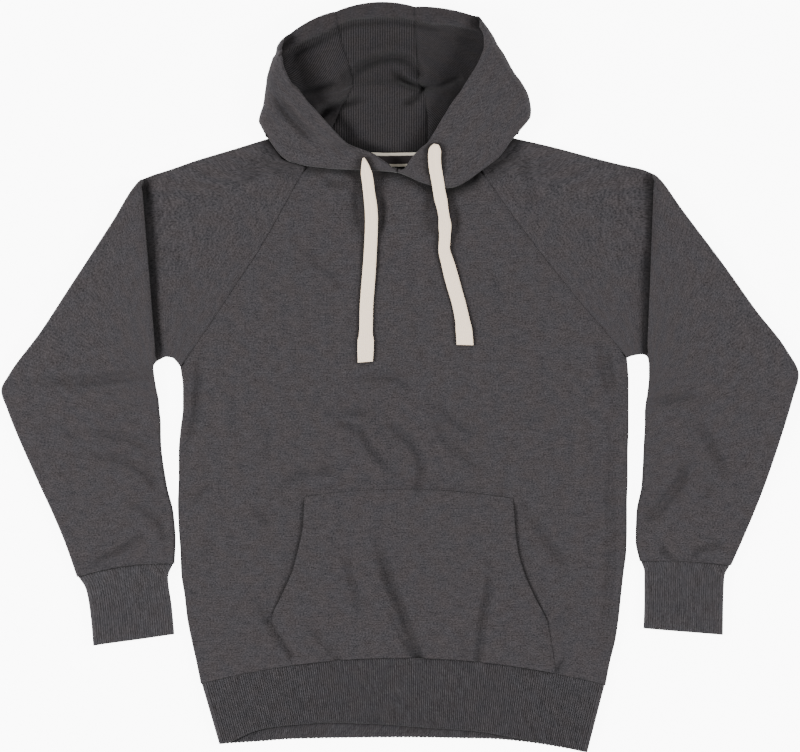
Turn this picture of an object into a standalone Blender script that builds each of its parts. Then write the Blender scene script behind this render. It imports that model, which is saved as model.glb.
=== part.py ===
"""Pullover hoodie laid flat with its front up, one closed solid for each sewn piece.

Frame: +X across the chest, +Y from the hem to the hood, +Z up. The underside lies on z = 0.
Left and right are those of a viewer who looks down on the garment. All tables and named sizes
are in millimetres, and points become metres when a mesh is made.
"""

import math
from collections import namedtuple

import bmesh
import bpy
from mathutils import Vector

MM = 0.001

# Cloth
JERSEY = 2.2
CASING = 4.0
RIB_WALL = 3.0
TAPE = 0.8
GAP = 0.3
NECK_GAP = 0.45

# Heights above the surface that the garment lies on
BODY_HEIGHT = 6.8
FRONT_LOFT = 1.2
RIB_HEIGHT = 7.4
RIB_RISE = 0.5

# Rounded side edges
SIDE_RADIUS = BODY_HEIGHT / 2
SIDE_STEPS = 2
SLEEVE_ARC = (-90, -30, 30, 90)
HOOD_ARC = (90, 45, 0, -45, -90)

# Grid of the front: columns beside and across the pocket, rows along the raglan seam
SIDE_COLUMNS = 3
POCKET_COLUMNS = 14
POCKET_ROWS = 7
BACK_COLUMNS = 16
FRONT_RAGLAN_ROWS = 7
BACK_RAGLAN_ROWS = 5
UNDERARM_STEP = SIDE_RADIUS

# Ribs
HEM_RIBS = 184
CUFF_RIBS = 32
PLAIN_COLUMNS = 16
COLUMNS_PER_INNER = 4

# Hood grid
CASING_WIDTH = 20.0
FLAP_TURN = 0.68
FLAP_FRACTIONS = (0.0, None, 0.25, 0.4, 0.54, FLAP_TURN, 0.84)
BASE_FRACTIONS = (0.4, 0.75, 1.0)
CENTER_COLUMNS = 6
HOOD_FOLD_RADIUS = 10.0

# Drawcords
CORD_WIDTH = 16.5
CORD_THICKNESS = 2.6

CHARCOAL = (0.068, 0.065, 0.070)
CHARCOAL_RIB = (0.062, 0.060, 0.066)
CHARCOAL_INSIDE = (0.055, 0.051, 0.055)
CREAM = (0.78, 0.74, 0.66)

Section = namedtuple("Section", "left_x left_y right_x right_y bow")
BODY_SECTIONS = (
    Section(-238.5, -368, 246, -370, 32),
    Section(-244, -341, 251, -342, 34),
    Section(-250, -314, 258, -314, 36),
    Section(-255, -288, 262, -288, 38),
    Section(-258, -262, 266, -262, 40),
    Section(-262, -235, 269, -235, 42),
    Section(-263, -209, 271, -209, 44),
    Section(-265, -181, 272, -181, 46),
    Section(-266, -151, 272, -151, 42),
    Section(-265, -121, 274, -121, 37),
    Section(-265, -91, 274, -91, 32),
    Section(-263, -64, 275, -61, 28),
    Section(-260, -37, 275, -32, 23),
    Section(-260, -13, 275, -5, 18),
    Section(-263, 12, 273, 23, 14),
)
NECK_BOW = -3.0

PocketSide = namedtuple("PocketSide", "left_x right_x")
POCKET_SIDES = (
    PocketSide(-129, 189),
    PocketSide(-140, 184),
    PocketSide(-154, 178),
    PocketSide(-142, 163),
    PocketSide(-129, 150),
    PocketSide(-121, 142),
    PocketSide(-116, 139),
    PocketSide(-115, 137),
)

Fold = namedtuple("Fold", "start_x start_y end_x end_y width depth")
FRONT_FOLDS = (
    Fold(-30, -185, 18, -318, 20, 2.6),
    Fold(-65, -215, -42, -298, 18, 1.2),
    Fold(106, -239, 99, -322, 18, 1.4),
    Fold(-8, -55, 30, -110, 24, 1.2),
    Fold(40, -40, 92, -128, 26, 1.0),
    Fold(246, -10, 246, -310, 18, 1.2),
)

NECKLINE = ((-112, 253), (-80, 248), (-41, 243), (-2, 238), (30, 230), (62, 229), (96, 250))
BACK_NECKLINE = ((-100, 265), (-88, 264), (-50, 262), (-11, 261), (34, 262), (75, 264))
FRONT_RAGLAN = {
    "left": ((-263, 12), (-225, 67), (-195, 113), (-166, 157), (-112, 253)),
    "right": ((273, 23), (253, 48), (211, 97), (152, 172), (96, 250)),
}
BACK_RAGLAN = {
    "left": ((-263, 12), (-190, 133), (-100, 265)),
    "right": ((273, 23), (182, 138), (75, 264)),
}
SHOULDER_NECK = {"left": (-158, 286), "right": (136, 287)}
FRONT_NECK_SIDE = {"left": (-136, 263), "right": (117, 264)}
BACK_NECK_SIDE = {"left": (-129, 274), "right": (107, 271)}

SleeveRing = namedtuple("SleeveRing", "outer_x outer_y inner_x inner_y height tuck straight")
SLEEVE_RINGS = {
    "left": (
        SleeveRing(-158, 286, -263, 12, 6.8, 0.0, 0.0),
        SleeveRing(-200, 273, -268, 19, 7.4, 0.0, 0.2),
        SleeveRing(-245, 259.5, -273, 23, 7.8, 0.0, 0.5),
        SleeveRing(-275, 249, -280, 24, 7.6, 0.0, 0.7),
        SleeveRing(-297, 242, -286, 21.5, 7.0, -0.4, 0.9),
        SleeveRing(-307, 238, -291, 18.5, 7.0, -0.8, 1.0),
        SleeveRing(-311, 236.5, -293, 16.5, 7.0, 6.4, 1.0),
        SleeveRing(-319, 228, -295, 12, 7.0, 7.0, 1.0),
        SleeveRing(-343, 189, -295.5, 3, 7.2, 5.8, 1.0),
        SleeveRing(-397, 106, -293, -13, 7.6, 3.8, 1.0),
        SleeveRing(-431, 54, -290, -28, 7.8, 2.8, 1.0),
        SleeveRing(-468, 4, -289, -41, 7.8, 2.0, 1.0),
        SleeveRing(-478, -16, -287, -54, 7.8, 1.6, 1.0),
        SleeveRing(-471, -38, -286, -72, 7.8, 1.2, 1.0),
        SleeveRing(-434, -125, -278.7, -131, 7.8, 0.4, 1.0),
        SleeveRing(-416, -164, -272.5, -163, 7.8, 0.2, 1.0),
        SleeveRing(-401, -200, -270, -196, 7.8, 0.0, 1.0),
        SleeveRing(-387, -240, -271, -224, 7.6, 0.0, 1.0),
    ),
    "right": (
        SleeveRing(136, 287, 273, 23, 6.8, 0.0, 0.0),
        SleeveRing(184, 276, 278.5, 25, 7.4, 0.0, 0.2),
        SleeveRing(229, 264, 285, 26.5, 7.8, 0.0, 0.5),
        SleeveRing(265, 255, 290.5, 27, 7.6, 0.0, 0.7),
        SleeveRing(292, 249, 295, 26, 7.0, -0.4, 0.9),
        SleeveRing(303, 244.5, 297, 24, 7.0, -0.8, 1.0),
        SleeveRing(307, 242.5, 298, 21.5, 7.0, 6.4, 1.0),
        SleeveRing(314, 236, 299, 14, 7.0, 7.0, 1.0),
        SleeveRing(337, 204, 299, 2, 7.2, 5.8, 1.0),
        SleeveRing(391, 132, 297, -20, 7.6, 3.8, 1.0),
        SleeveRing(428, 80, 295, -32, 7.8, 2.8, 1.0),
        SleeveRing(462, 32, 294, -44, 7.8, 2.0, 1.0),
        SleeveRing(478, 2, 294, -57, 7.8, 1.6, 1.0),
        SleeveRing(473, -22, 293, -76, 7.8, 1.2, 1.0),
        SleeveRing(440.5, -124, 290, -131, 7.8, 0.4, 1.0),
        SleeveRing(425, -164, 284, -163, 7.8, 0.2, 1.0),
        SleeveRing(410, -199, 283, -196, 7.8, 0.0, 1.0),
        SleeveRing(398, -226, 288, -221, 7.6, 0.0, 1.0),
    ),
}
SHOULDER_TUCK = 0.6

CuffRing = namedtuple("CuffRing", "outer_x outer_y inner_x inner_y")
CUFF_RINGS = {
    "left": (
        CuffRing(-383, -240, -273, -225),
        CuffRing(-377, -254, -277, -240),
        CuffRing(-371, -288, -272.5, -275),
        CuffRing(-368, -322, -269.5, -308),
    ),
    "right": (
        CuffRing(396, -226, 290, -221),
        CuffRing(390.5, -239, 293, -234),
        CuffRing(389, -274, 293, -268),
        CuffRing(388.5, -309, 292, -301),
    ),
}
HEM_INSET = 3.0
HEM_FRONT_EDGE = (
    (-217, -440), (-202, -437), (-164, -422), (-98, -415), (-32, -416),
    (37, -421), (93, -425), (133, -432), (165, -438), (226, -450),
)
HEM_BACK_EDGE = (
    (-217, -440), (-167, -436), (-119, -433), (1, -431), (121, -433), (169, -439), (226, -450),
)

HoodRow = namedtuple(
    "HoodRow",
    "rim_x rim_y rim_z edge_x edge_y edge_z droop overhang"
    " seam_x seam_y base_z seam_lift edge_lift dip",
)
HOOD_ROWS = {
    "left": (
        HoodRow(-2, 238, 7.2, -158, 286, 7.2, 1.0, 0, -88, 264, 2.2, 0, 0, 0),
        HoodRow(-2, 240, 10, -160.5, 289.5, 11, 1.0, 2, -88, 269, 4.0, 0, 0, 0),
        HoodRow(-3, 244, 13.5, -163.5, 295, 15, 0.9, 3, -87, 275, 6.0, 0, 0, 0),
        HoodRow(-6, 249, 16, -166.5, 301, 18, 0.74, 2, -86, 282, 8.0, 0, 0, 0),
        HoodRow(-13, 255, 18, -169, 307, 20.5, 0.56, 0, -83, 290, 9.5, 0, 0, 2),
        HoodRow(-27, 265, 20, -167, 316.5, 22, 0.42, 0, -80, 300, 10, 0, 0, 4),
        HoodRow(-44, 271, 22, -164, 325, 23, 0.3, 0, -75, 311, 9, 0, 0, 8),
        HoodRow(-59, 279, 23.5, -162.5, 334, 23.5, 0.2, 0, -70, 322, 9, 0, 0, 12),
        HoodRow(-76, 295, 25, -161.5, 342, 24, 0.12, 0, -64, 332, 11, 0, 0, 15),
        HoodRow(-94, 313, 26.5, -160.3, 350, 24.5, 0.06, 0, -59, 342, 15, 0, 0, 16),
        HoodRow(-109, 328, 27.5, -159.5, 358, 25, 0.03, 0, -56, 348, 14, 0, 0, 16),
        HoodRow(-119, 340, 28, -158, 364, 25, 0, 0, -56, 351, 6.5, 0, 0, 16),
        HoodRow(-129, 349, 28.5, -156, 371, 25, 0, 0, -56, 358, 3.6, 0, 0, 14),
        HoodRow(-135, 359, 29, -154, 377, 25.5, 0, 0, -59, 371, 3.0, 0, 0, 8),
        HoodRow(-140, 370, 29, -152, 383, 26, 0, 0, -64, 386, 3.0, 0, 0, 4),
        HoodRow(-142, 378, 29, -149, 387, 26.5, 0, 0, -69, 401, 4.0, 1.5, 3, 1),
        HoodRow(-143, 383, 29, -146, 393, 27, 0, 0, -72, 416, 9.5, 6, 8, 0),
        HoodRow(-144, 385, 29, -142, 400, 27.5, 0, 0, -74, 425, 14, 10, 12, -1),
        HoodRow(-144, 387, 29, -137, 406, 27, 0, 0, -76, 438, 22, 18, 16, -4),
    ),
    "right": (
        HoodRow(0, 237.4, 7.2, 136, 287, 7.2, 1.0, 0, 34, 262, 2.2, 0, 0, 0),
        HoodRow(0, 240, 10, 140.5, 290.5, 11, 1.0, 3, 34, 269, 4.0, 0, 0, 0),
        HoodRow(1, 243, 13.5, 145.5, 296.5, 15, 0.93, 5, 34, 275, 6.0, 0, 0, 0),
        HoodRow(4, 248, 16, 151.5, 303.5, 18, 0.8, 5, 34, 282, 8.0, 0, 0, 0),
        HoodRow(7, 255, 18.5, 157.5, 312.5, 21, 0.62, 3, 34, 290, 9.5, 0, 0, 0),
        HoodRow(13, 263, 21, 158, 320, 23, 0.46, 0, 34, 300, 11, 0, 0, 0),
        HoodRow(21, 271, 23, 157, 328.5, 24.5, 0.34, 0, 34, 311, 12, 0, 0, 0),
        HoodRow(30, 278, 25, 155, 337, 25.5, 0.24, 0, 32, 322, 13, 0, 0, 0),
        HoodRow(40, 290, 26.5, 152, 344, 26.5, 0.16, 0, 31, 332, 14, 0, 0, 0),
        HoodRow(50, 307, 28, 148, 351, 27, 0.1, 0, 31, 341, 15, 0, 0, 0),
        HoodRow(58, 320, 29, 144, 357, 27.5, 0.05, 0, 29, 346, 14, 0, 0, 0),
        HoodRow(65, 331, 30, 140, 362, 28, 0.02, 0, 26, 349, 6.5, 0, 0, 0),
        HoodRow(72, 340, 30.5, 136, 368, 28, 0, 0, 22, 355, 3.6, 0, 0, 0),
        HoodRow(81, 354, 31, 131, 377, 28.5, 0, 0, 22, 371, 3.0, 0, 0, 0),
        HoodRow(90, 368, 31.5, 125, 388, 29, 0, 0, 21, 386, 3.0, 0, 0, 0),
        HoodRow(98, 383, 31.5, 118, 398, 29.5, 0, 0, 20, 401, 4.0, 1.5, 3, 0),
        HoodRow(102, 397, 31, 113, 408, 30, 0, 0, 19, 414, 9.5, 6, 8, 0),
        HoodRow(102, 408, 30.5, 107, 417, 29.5, 0, 0, 19, 422, 14, 10, 12, -1),
        HoodRow(99, 419, 30, 98, 430, 28, 0, 0, 18, 442, 22, 18, 16, -4.5),
    ),
}
CENTER_BOWS = (0, -2, -1, 0, 0, 0, 0, 0, 2, 4, 4, 4, 2, 0, 0, 2, 4, 5, 9.6)
CENTER_CROWN = 1.5

TAPE_BELOW = 8.5
TAPE_ABOVE = 7.5
TAPE_COLUMNS = 8

CordPoint = namedtuple("CordPoint", "x y z")
CORD_ROUTES = {
    "left": (
        CordPoint(-43, 264, 22.3),
        CordPoint(-40.3, 254.4, 19.8),
        CordPoint(-38.6, 244, 15.9),
        CordPoint(-37.3, 234, 11.2),
        CordPoint(-36, 222, 9.7),
        CordPoint(-34, 204, 9.7),
        CordPoint(-33.7, 186, 9.8),
        CordPoint(-35.2, 150, 9.9),
        CordPoint(-36.8, 119.4, 10.0),
        CordPoint(-38.2, 88, 10.1),
        CordPoint(-39.6, 56, 10.1),
        CordPoint(-41, 18, 10.1),
    ),
    "right": (
        CordPoint(41.5, 280, 27.1),
        CordPoint(41.7, 267, 24.2),
        CordPoint(42.6, 255, 21.8),
        CordPoint(44.4, 243, 19.4),
        CordPoint(47.4, 231, 15.9),
        CordPoint(50.4, 219, 10.9),
        CordPoint(53, 202, 9.7),
        CordPoint(54.9, 182, 9.8),
        CordPoint(54.2, 163, 9.9),
        CordPoint(54.4, 149, 9.9),
        CordPoint(60, 131.5, 10.0),
        CordPoint(65.4, 110, 10.0),
        CordPoint(71.4, 86.4, 10.1),
        CordPoint(76.7, 62.4, 10.1),
        CordPoint(78.6, 38.4, 10.1),
    ),
}
CORD_STEP = 16.0


def mix(start, end, share):
    """Point between two points of equal size."""
    return tuple(a + (b - a) * share for a, b in zip(start, end))


def smooth_step(value):
    """Ease from 0 to 1."""
    value = min(max(value, 0.0), 1.0)
    return value * value * (3.0 - 2.0 * value)


def spline(points, place):
    """Point of a smooth curve at a place counted in rows of the points."""
    last = len(points) - 1
    row = min(max(int(place), 0), last - 1)
    t = place - row
    a, b, c, d = (points[min(max(row + j, 0), last)] for j in (-1, 0, 1, 2))
    return tuple(
        0.5 * (2 * q + (r - p) * t + (2 * p - 5 * q + 4 * r - s) * t**2 + (3 * q - p - 3 * r + s) * t**3)
        for p, q, r, s in zip(a, b, c, d)
    )


def distance(start, end):
    """Length between two points."""
    return math.dist(start, end)


def trace(points, lengths):
    """Points of the smooth curve at the given lengths from its start."""
    steps = 24 * (len(points) - 1)
    fine = [spline(points, (len(points) - 1) * i / steps) for i in range(steps + 1)]
    reached = [0.0]
    for start, end in zip(fine, fine[1:]):
        reached.append(reached[-1] + distance(start, end))
    found = []
    for length in lengths:
        i = 0
        while i < steps - 1 and reached[i + 1] < length:
            i += 1
        share = (length - reached[i]) / (reached[i + 1] - reached[i])
        found.append(mix(fine[i], fine[i + 1], min(max(share, 0.0), 1.0)))
    return found


def curve_length(points):
    """Length of the smooth curve through the points."""
    steps = 24 * (len(points) - 1)
    fine = [spline(points, (len(points) - 1) * i / steps) for i in range(steps + 1)]
    return sum(distance(start, end) for start, end in zip(fine, fine[1:]))


def curve_y(points, x):
    """Y of the smooth curve at an x, for a curve that runs along x."""
    i = 0
    while i < len(points) - 2 and points[i + 1][0] < x:
        i += 1
    return spline(points, i + (x - points[i][0]) / (points[i + 1][0] - points[i][0]))[1]


def spread(points, shares):
    """Points of the smooth curve at shares of its length."""
    length = curve_length(points)
    return trace(points, [share * length for share in shares])


def material(name, colour, roughness=0.92):
    """Cloth material of one piece."""
    cloth = bpy.data.materials.new(name)
    cloth.use_nodes = True
    shader = cloth.node_tree.nodes["Principled BSDF"]
    shader.inputs["Base Color"].default_value = (*colour, 1.0)
    shader.inputs["Roughness"].default_value = roughness
    shader.inputs["Metallic"].default_value = 0.0
    cloth.diffuse_color = (*colour, 1.0)
    return cloth


def finish_piece(name, bm, colour):
    """Turn a closed mesh in millimetres into a named object in metres."""
    bmesh.ops.recalc_face_normals(bm, faces=bm.faces)
    mesh = bpy.data.meshes.new(name)
    bm.to_mesh(mesh)
    bm.free()
    for vertex in mesh.vertices:
        vertex.co *= MM
    mesh.shade_smooth()
    mesh.set_sharp_from_angle(angle=math.radians(50))
    mesh.materials.append(material(name, colour))
    piece = bpy.data.objects.new(name, mesh)
    bpy.context.collection.objects.link(piece)
    return piece


def add_rows(bm, rows):
    """Vertices of a grid of points."""
    return [[bm.verts.new(Vector(point)) for point in row] for row in rows]


def join_rows(bm, first, second, closed=False):
    """Quads between two rows of as many vertices."""
    count = len(first)
    for i in range(count if closed else count - 1):
        j = (i + 1) % count
        bm.faces.new((first[i], first[j], second[j], second[i]))


def sheet_solid(name, outer, inner, colour):
    """Open panel: an outer and an inner grid, closed along its four edges."""
    bm = bmesh.new()
    outside = add_rows(bm, outer)
    inside = add_rows(bm, inner)
    for grid in (outside, inside):
        for first, second in zip(grid, grid[1:]):
            join_rows(bm, first, second)
    for edge in (0, -1):
        join_rows(bm, outside[edge], inside[edge])
        join_rows(bm, [row[edge] for row in outside], [row[edge] for row in inside])
    return finish_piece(name, bm, colour)


def close_end(bm, outside, outside_at, inside, inside_at):
    """Triangles between two closed loops whose vertices are placed by shares of a turn."""
    i = j = 0
    outside_next = list(outside_at[1:]) + [1.0]
    inside_next = list(inside_at[1:]) + [1.0]
    while i < len(outside) or j < len(inside):
        step_outside = j >= len(inside) or (i < len(outside) and outside_next[i] <= inside_next[j])
        here = outside[i % len(outside)]
        there = inside[j % len(inside)]
        if step_outside:
            i += 1
            bm.faces.new((here, outside[i % len(outside)], there))
        else:
            j += 1
            bm.faces.new((here, inside[j % len(inside)], there))


def tube_solid(name, outer, outer_at, inner, inner_at, colour):
    """Tube wall: outer and inner loops of their own counts, closed at both ends."""
    bm = bmesh.new()
    outside = add_rows(bm, outer)
    inside = add_rows(bm, inner)
    for grid in (outside, inside):
        for first, second in zip(grid, grid[1:]):
            join_rows(bm, first, second, closed=True)
    for end in (0, -1):
        close_end(bm, outside[end], outer_at, inside[end], inner_at)
    return finish_piece(name, bm, colour)


# Front, back and pocket


def raglan_points(curve, rows):
    """Seam points from the underarm to the neck, the first step short."""
    length = curve_length(curve)
    step = (length - UNDERARM_STEP) / rows
    return trace(curve, [0.0] + [UNDERARM_STEP + step * i for i in range(rows)] + [length])


def front_rise(x, y, across, loft):
    """Height of the front's upper side, from the loft and the soft folds."""
    edge = min(1.0, 6.0 * min(across, 1.0 - across))
    height = BODY_HEIGHT + loft * 4.0 * across * (1.0 - across)
    for fold in FRONT_FOLDS:
        start = Vector((fold.start_x, fold.start_y))
        run = Vector((fold.end_x, fold.end_y)) - start
        offset = Vector((x, y)) - start
        share = offset.dot(run) / run.length_squared
        nearest = min(max(share, 0.0), 1.0)
        away = (offset - run * nearest).length / fold.width
        height -= edge * fold.depth * math.exp(-away * away)
    return height


def column_places(left, right, pocket_left, pocket_right, side_columns, middle_columns):
    """X of each column between the rounded sides."""
    start = left + SIDE_RADIUS
    end = right - SIDE_RADIUS
    places = [start + (pocket_left - start) * i / side_columns for i in range(side_columns)]
    width = pocket_right - pocket_left
    places += [pocket_left + width * i / middle_columns for i in range(middle_columns)]
    places += [pocket_right + (end - pocket_right) * i / side_columns for i in range(side_columns + 1)]
    return places


def side_steps():
    """Angles up the rounded side, from just clear of the seam to the top."""
    clear = math.asin(GAP / 2 / SIDE_RADIUS)
    return [clear + (math.pi / 2 - clear) * i / SIDE_STEPS for i in range(SIDE_STEPS)]


def panel_rows(sections, raglans, neckline, places_of, top_side):
    """Outer and inner grid of the front (top_side) or the back, row by row."""
    outer = []
    inner = []
    left_seam, right_seam = raglans
    rows = [(s.left_x, s.left_y, s.right_x, s.right_y, s.bow, True) for s in sections]
    count = len(left_seam) - 1
    for i in range(1, count + 1):
        bow = sections[-1].bow + (NECK_BOW - sections[-1].bow) * i / count
        rows.append((*left_seam[i], *right_seam[i], bow, False))
    for number, (left_x, left_y, right_x, right_y, bow, rounded) in enumerate(rows):
        width = right_x - left_x
        climb = number / (len(rows) - 1)
        loft = FRONT_LOFT * min(1.0, 0.3 + 4.0 * climb * (1.0 - climb)) * (0.0 if climb == 1.0 else 1.0)
        middle = places_of(number, left_x, right_x)
        at_neck = number == len(rows) - 1

        def level(x):
            if at_neck:
                return curve_y(neckline, x)
            share = (x - left_x) / width
            return left_y + (right_y - left_y) * share + bow * 4.0 * share * (1.0 - share)

        outer_row = []
        inner_row = []
        for side, edge in ((1.0, left_x), (-1.0, right_x)):
            steps = []
            for angle in side_steps():
                reach = SIDE_RADIUS * (1.0 - math.cos(angle))
                wall_reach = SIDE_RADIUS - (SIDE_RADIUS - JERSEY) * math.cos(angle)
                rise = SIDE_RADIUS * math.sin(angle)
                wall_rise = (SIDE_RADIUS - JERSEY) * math.sin(angle)
                if not rounded:
                    wall_reach = reach
                    rise = SIDE_RADIUS
                    wall_rise = SIDE_RADIUS - JERSEY
                steps.append((reach, wall_reach, rise, wall_rise))
            columns = steps if side > 0 else steps[::-1]
            outer_part = []
            inner_part = []
            for reach, wall_reach, rise, wall_rise in columns:
                turn = 1.0 if top_side else -1.0
                x = edge + side * reach
                wall_x = edge + side * wall_reach
                y = level(x)
                outer_part.append((x, y, SIDE_RADIUS + turn * rise))
                inner_part.append((wall_x, y, SIDE_RADIUS + turn * wall_rise))
            if side > 0:
                outer_row += outer_part
                inner_row += inner_part
                for x in middle:
                    y = level(x)
                    if top_side:
                        top = front_rise(x, y, (x - left_x) / width, loft)
                        outer_row.append((x, y, top))
                        inner_row.append((x, y, top - JERSEY))
                    else:
                        outer_row.append((x, y, 0.0))
                        inner_row.append((x, y, JERSEY))
            else:
                outer_row += outer_part
                inner_row += inner_part
        outer.append(outer_row)
        inner.append(inner_row)
    return outer, inner


def front_places(number, left_x, right_x):
    """Columns of one front row: they follow the pocket's sides, and run up from its top."""
    if number <= POCKET_ROWS:
        sides = POCKET_SIDES[number]
        return column_places(left_x, right_x, *sides, SIDE_COLUMNS, POCKET_COLUMNS)
    top = BODY_SECTIONS[POCKET_ROWS]
    width = top.right_x - top.left_x
    shares = [(x - top.left_x) / width for x in POCKET_SIDES[POCKET_ROWS]]
    sides = [left_x + share * (right_x - left_x) for share in shares]
    return column_places(left_x, right_x, *sides, SIDE_COLUMNS, POCKET_COLUMNS)


def back_places(number, left_x, right_x):
    """Even columns of one back row."""
    start = left_x + SIDE_RADIUS
    end = right_x - SIDE_RADIUS
    return [start + (end - start) * i / BACK_COLUMNS for i in range(BACK_COLUMNS + 1)]


def front_raglans():
    """Front raglan seam points, left and right."""
    return [raglan_points(FRONT_RAGLAN[side], FRONT_RAGLAN_ROWS) for side in ("left", "right")]


def back_raglans():
    """Back raglan seam points, left and right."""
    return [raglan_points(BACK_RAGLAN[side], BACK_RAGLAN_ROWS) for side in ("left", "right")]


def make_body():
    """Front, back and pocket; the pocket lies on the front's own points, moved out."""
    outer, inner = panel_rows(BODY_SECTIONS, front_raglans(), NECKLINE, front_places, True)
    sheet_solid("front", outer, inner, CHARCOAL)
    first = SIDE_STEPS + SIDE_COLUMNS
    last = first + POCKET_COLUMNS + 1
    under = []
    over = []
    for row in outer[:POCKET_ROWS + 1]:
        under.append([(x, y, z + GAP) for x, y, z in row[first:last]])
        over.append([(x, y, z + GAP + JERSEY) for x, y, z in row[first:last]])
    sheet_solid("pocket", over, under, CHARCOAL)
    outer, inner = panel_rows(BODY_SECTIONS[::2], back_raglans(), BACK_NECKLINE, back_places, False)
    sheet_solid("back", outer, inner, CHARCOAL)


# Sleeves


def arc_points(corner, inward, under_inward, radius, top, bottom, wall, ceiling, angles):
    """Outer and inner points round one folded edge of a flat tube.

    inward leads along the upper side from the edge, under_inward along the underside.
    """
    outer = []
    inner = []
    widest = math.cos(math.radians(30))
    for angle in angles:
        turn = math.radians(angle)
        reach = radius * (1.0 - math.cos(turn) / widest)
        wall_reach = wall + (radius - wall) * (1.0 - math.cos(turn) / widest)
        rise = (1.0 + math.sin(turn)) / 2.0
        x, y = corner
        step_x, step_y = inward if angle > 0 else under_inward
        outer.append((x + step_x * reach, y + step_y * reach, bottom + (top - bottom) * rise))
        height = wall + (ceiling - wall) * rise
        inner.append((x + step_x * wall_reach, y + step_y * wall_reach, height))
    return outer, inner


def direction(start, end):
    """Unit step in the plane from one point towards another."""
    step = Vector((end[0] - start[0], end[1] - start[1])).normalized()
    return (step.x, step.y)


def step_from(point, way, length):
    """Plan point a length along a unit step."""
    return (point[0] + way[0] * length, point[1] + way[1] * length)


def blend_ways(first, second, share):
    """Unit step between two plan directions."""
    step = Vector(mix(first, second, share)).normalized()
    return (step.x, step.y)


def shares_of(points):
    """Share of the whole length at each point of a chain."""
    reached = [0.0]
    for start, end in zip(points, points[1:]):
        reached.append(reached[-1] + distance(start, end))
    return [length / reached[-1] for length in reached]


def make_sleeve(side):
    """Sleeve tube from the raglan seams and the neck to the cuff, folded down at the shoulder."""
    rings = SLEEVE_RINGS[side]
    seam = raglan_points(FRONT_RAGLAN[side], FRONT_RAGLAN_ROWS)
    back_seam = raglan_points(BACK_RAGLAN[side], BACK_RAGLAN_ROWS)
    shoulder = SHOULDER_NECK[side]
    front_neck = FRONT_NECK_SIDE[side]
    back_neck = BACK_NECK_SIDE[side]
    upper = [*seam[1:], front_neck, mix(shoulder, front_neck, SIDE_RADIUS / distance(shoulder, front_neck))]
    lower = [mix(shoulder, back_neck, SIDE_RADIUS / distance(shoulder, back_neck)), back_neck]
    lower += back_seam[:0:-1]
    upper_shares = shares_of(upper)
    lower_shares = shares_of(lower)
    outer_loops = []
    inner_loops = []
    for number, ring in enumerate(rings):
        outer_edge = (ring.outer_x, ring.outer_y)
        inner_edge = (ring.inner_x, ring.inner_y)
        chord = direction(inner_edge, outer_edge)
        back_chord = (-chord[0], -chord[1])
        ways = [
            blend_ways(direction(seam[0], seam[1]), chord, ring.straight),
            blend_ways(direction(back_seam[0], back_seam[1]), chord, ring.straight),
            blend_ways(direction(shoulder, front_neck), back_chord, ring.straight),
            blend_ways(direction(shoulder, back_neck), back_chord, ring.straight),
        ]
        radius = SIDE_RADIUS
        ceiling = ring.height - JERSEY
        top_in = ring.height + ring.tuck
        top_out = ring.height + ring.tuck * SHOULDER_TUCK
        edges = (inner_edge, inner_edge, outer_edge, outer_edge)
        ends = [step_from(edge, way, radius) for edge, way in zip(edges, ways)]
        clear = seam_clearance(rings) if number == 0 else (0.0, 0.0)
        at_inner = arc_points(inner_edge, *ways[:2], radius, top_in, 0.0, JERSEY, ceiling, SLEEVE_ARC)
        at_outer = arc_points(outer_edge, *ways[2:], radius, top_out, 0.0, JERSEY, ceiling, SLEEVE_ARC[::-1])
        outer_loop = list(at_inner[0])
        inner_loop = list(at_inner[1])
        first = (upper[0], upper[-1])
        for point, share in list(zip(upper, upper_shares))[1:-1]:
            bulge = [p - q for p, q in zip(point, mix(*first, share))]
            line = mix(ends[0], ends[2], share)
            x, y = (a + b * (1.0 - ring.straight) for a, b in zip(line, bulge))
            top = top_in + (top_out - top_in) * share
            outer_loop.append((x, y, top))
            inner_loop.append((x, y, ceiling))
        outer_loop += at_outer[0]
        inner_loop += at_outer[1]
        first = (lower[0], lower[-1])
        for point, share in list(zip(lower, lower_shares))[1:-1]:
            bulge = [p - q for p, q in zip(point, mix(*first, share))]
            line = mix(ends[3], ends[1], share)
            x, y = (a + b * (1.0 - ring.straight) for a, b in zip(line, bulge))
            outer_loop.append((x, y, 0.0))
            inner_loop.append((x, y, JERSEY))
        outer_loops.append([(x + clear[0], y + clear[1], z) for x, y, z in outer_loop])
        inner_loops.append([(x + clear[0], y + clear[1], z) for x, y, z in inner_loop])
    at = [i / len(outer_loops[0]) for i in range(len(outer_loops[0]))]
    tube_solid("sleeve_" + side, outer_loops, at, inner_loops, at, CHARCOAL)


def seam_clearance(rings):
    """Shift that keeps a sleeve clear of the body along its raglan seams."""
    away = 1.0 if rings[1].outer_x > rings[0].outer_x else -1.0
    return (away * GAP * 1.2, -GAP * 0.2)


# Rib cuffs and hem band


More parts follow.
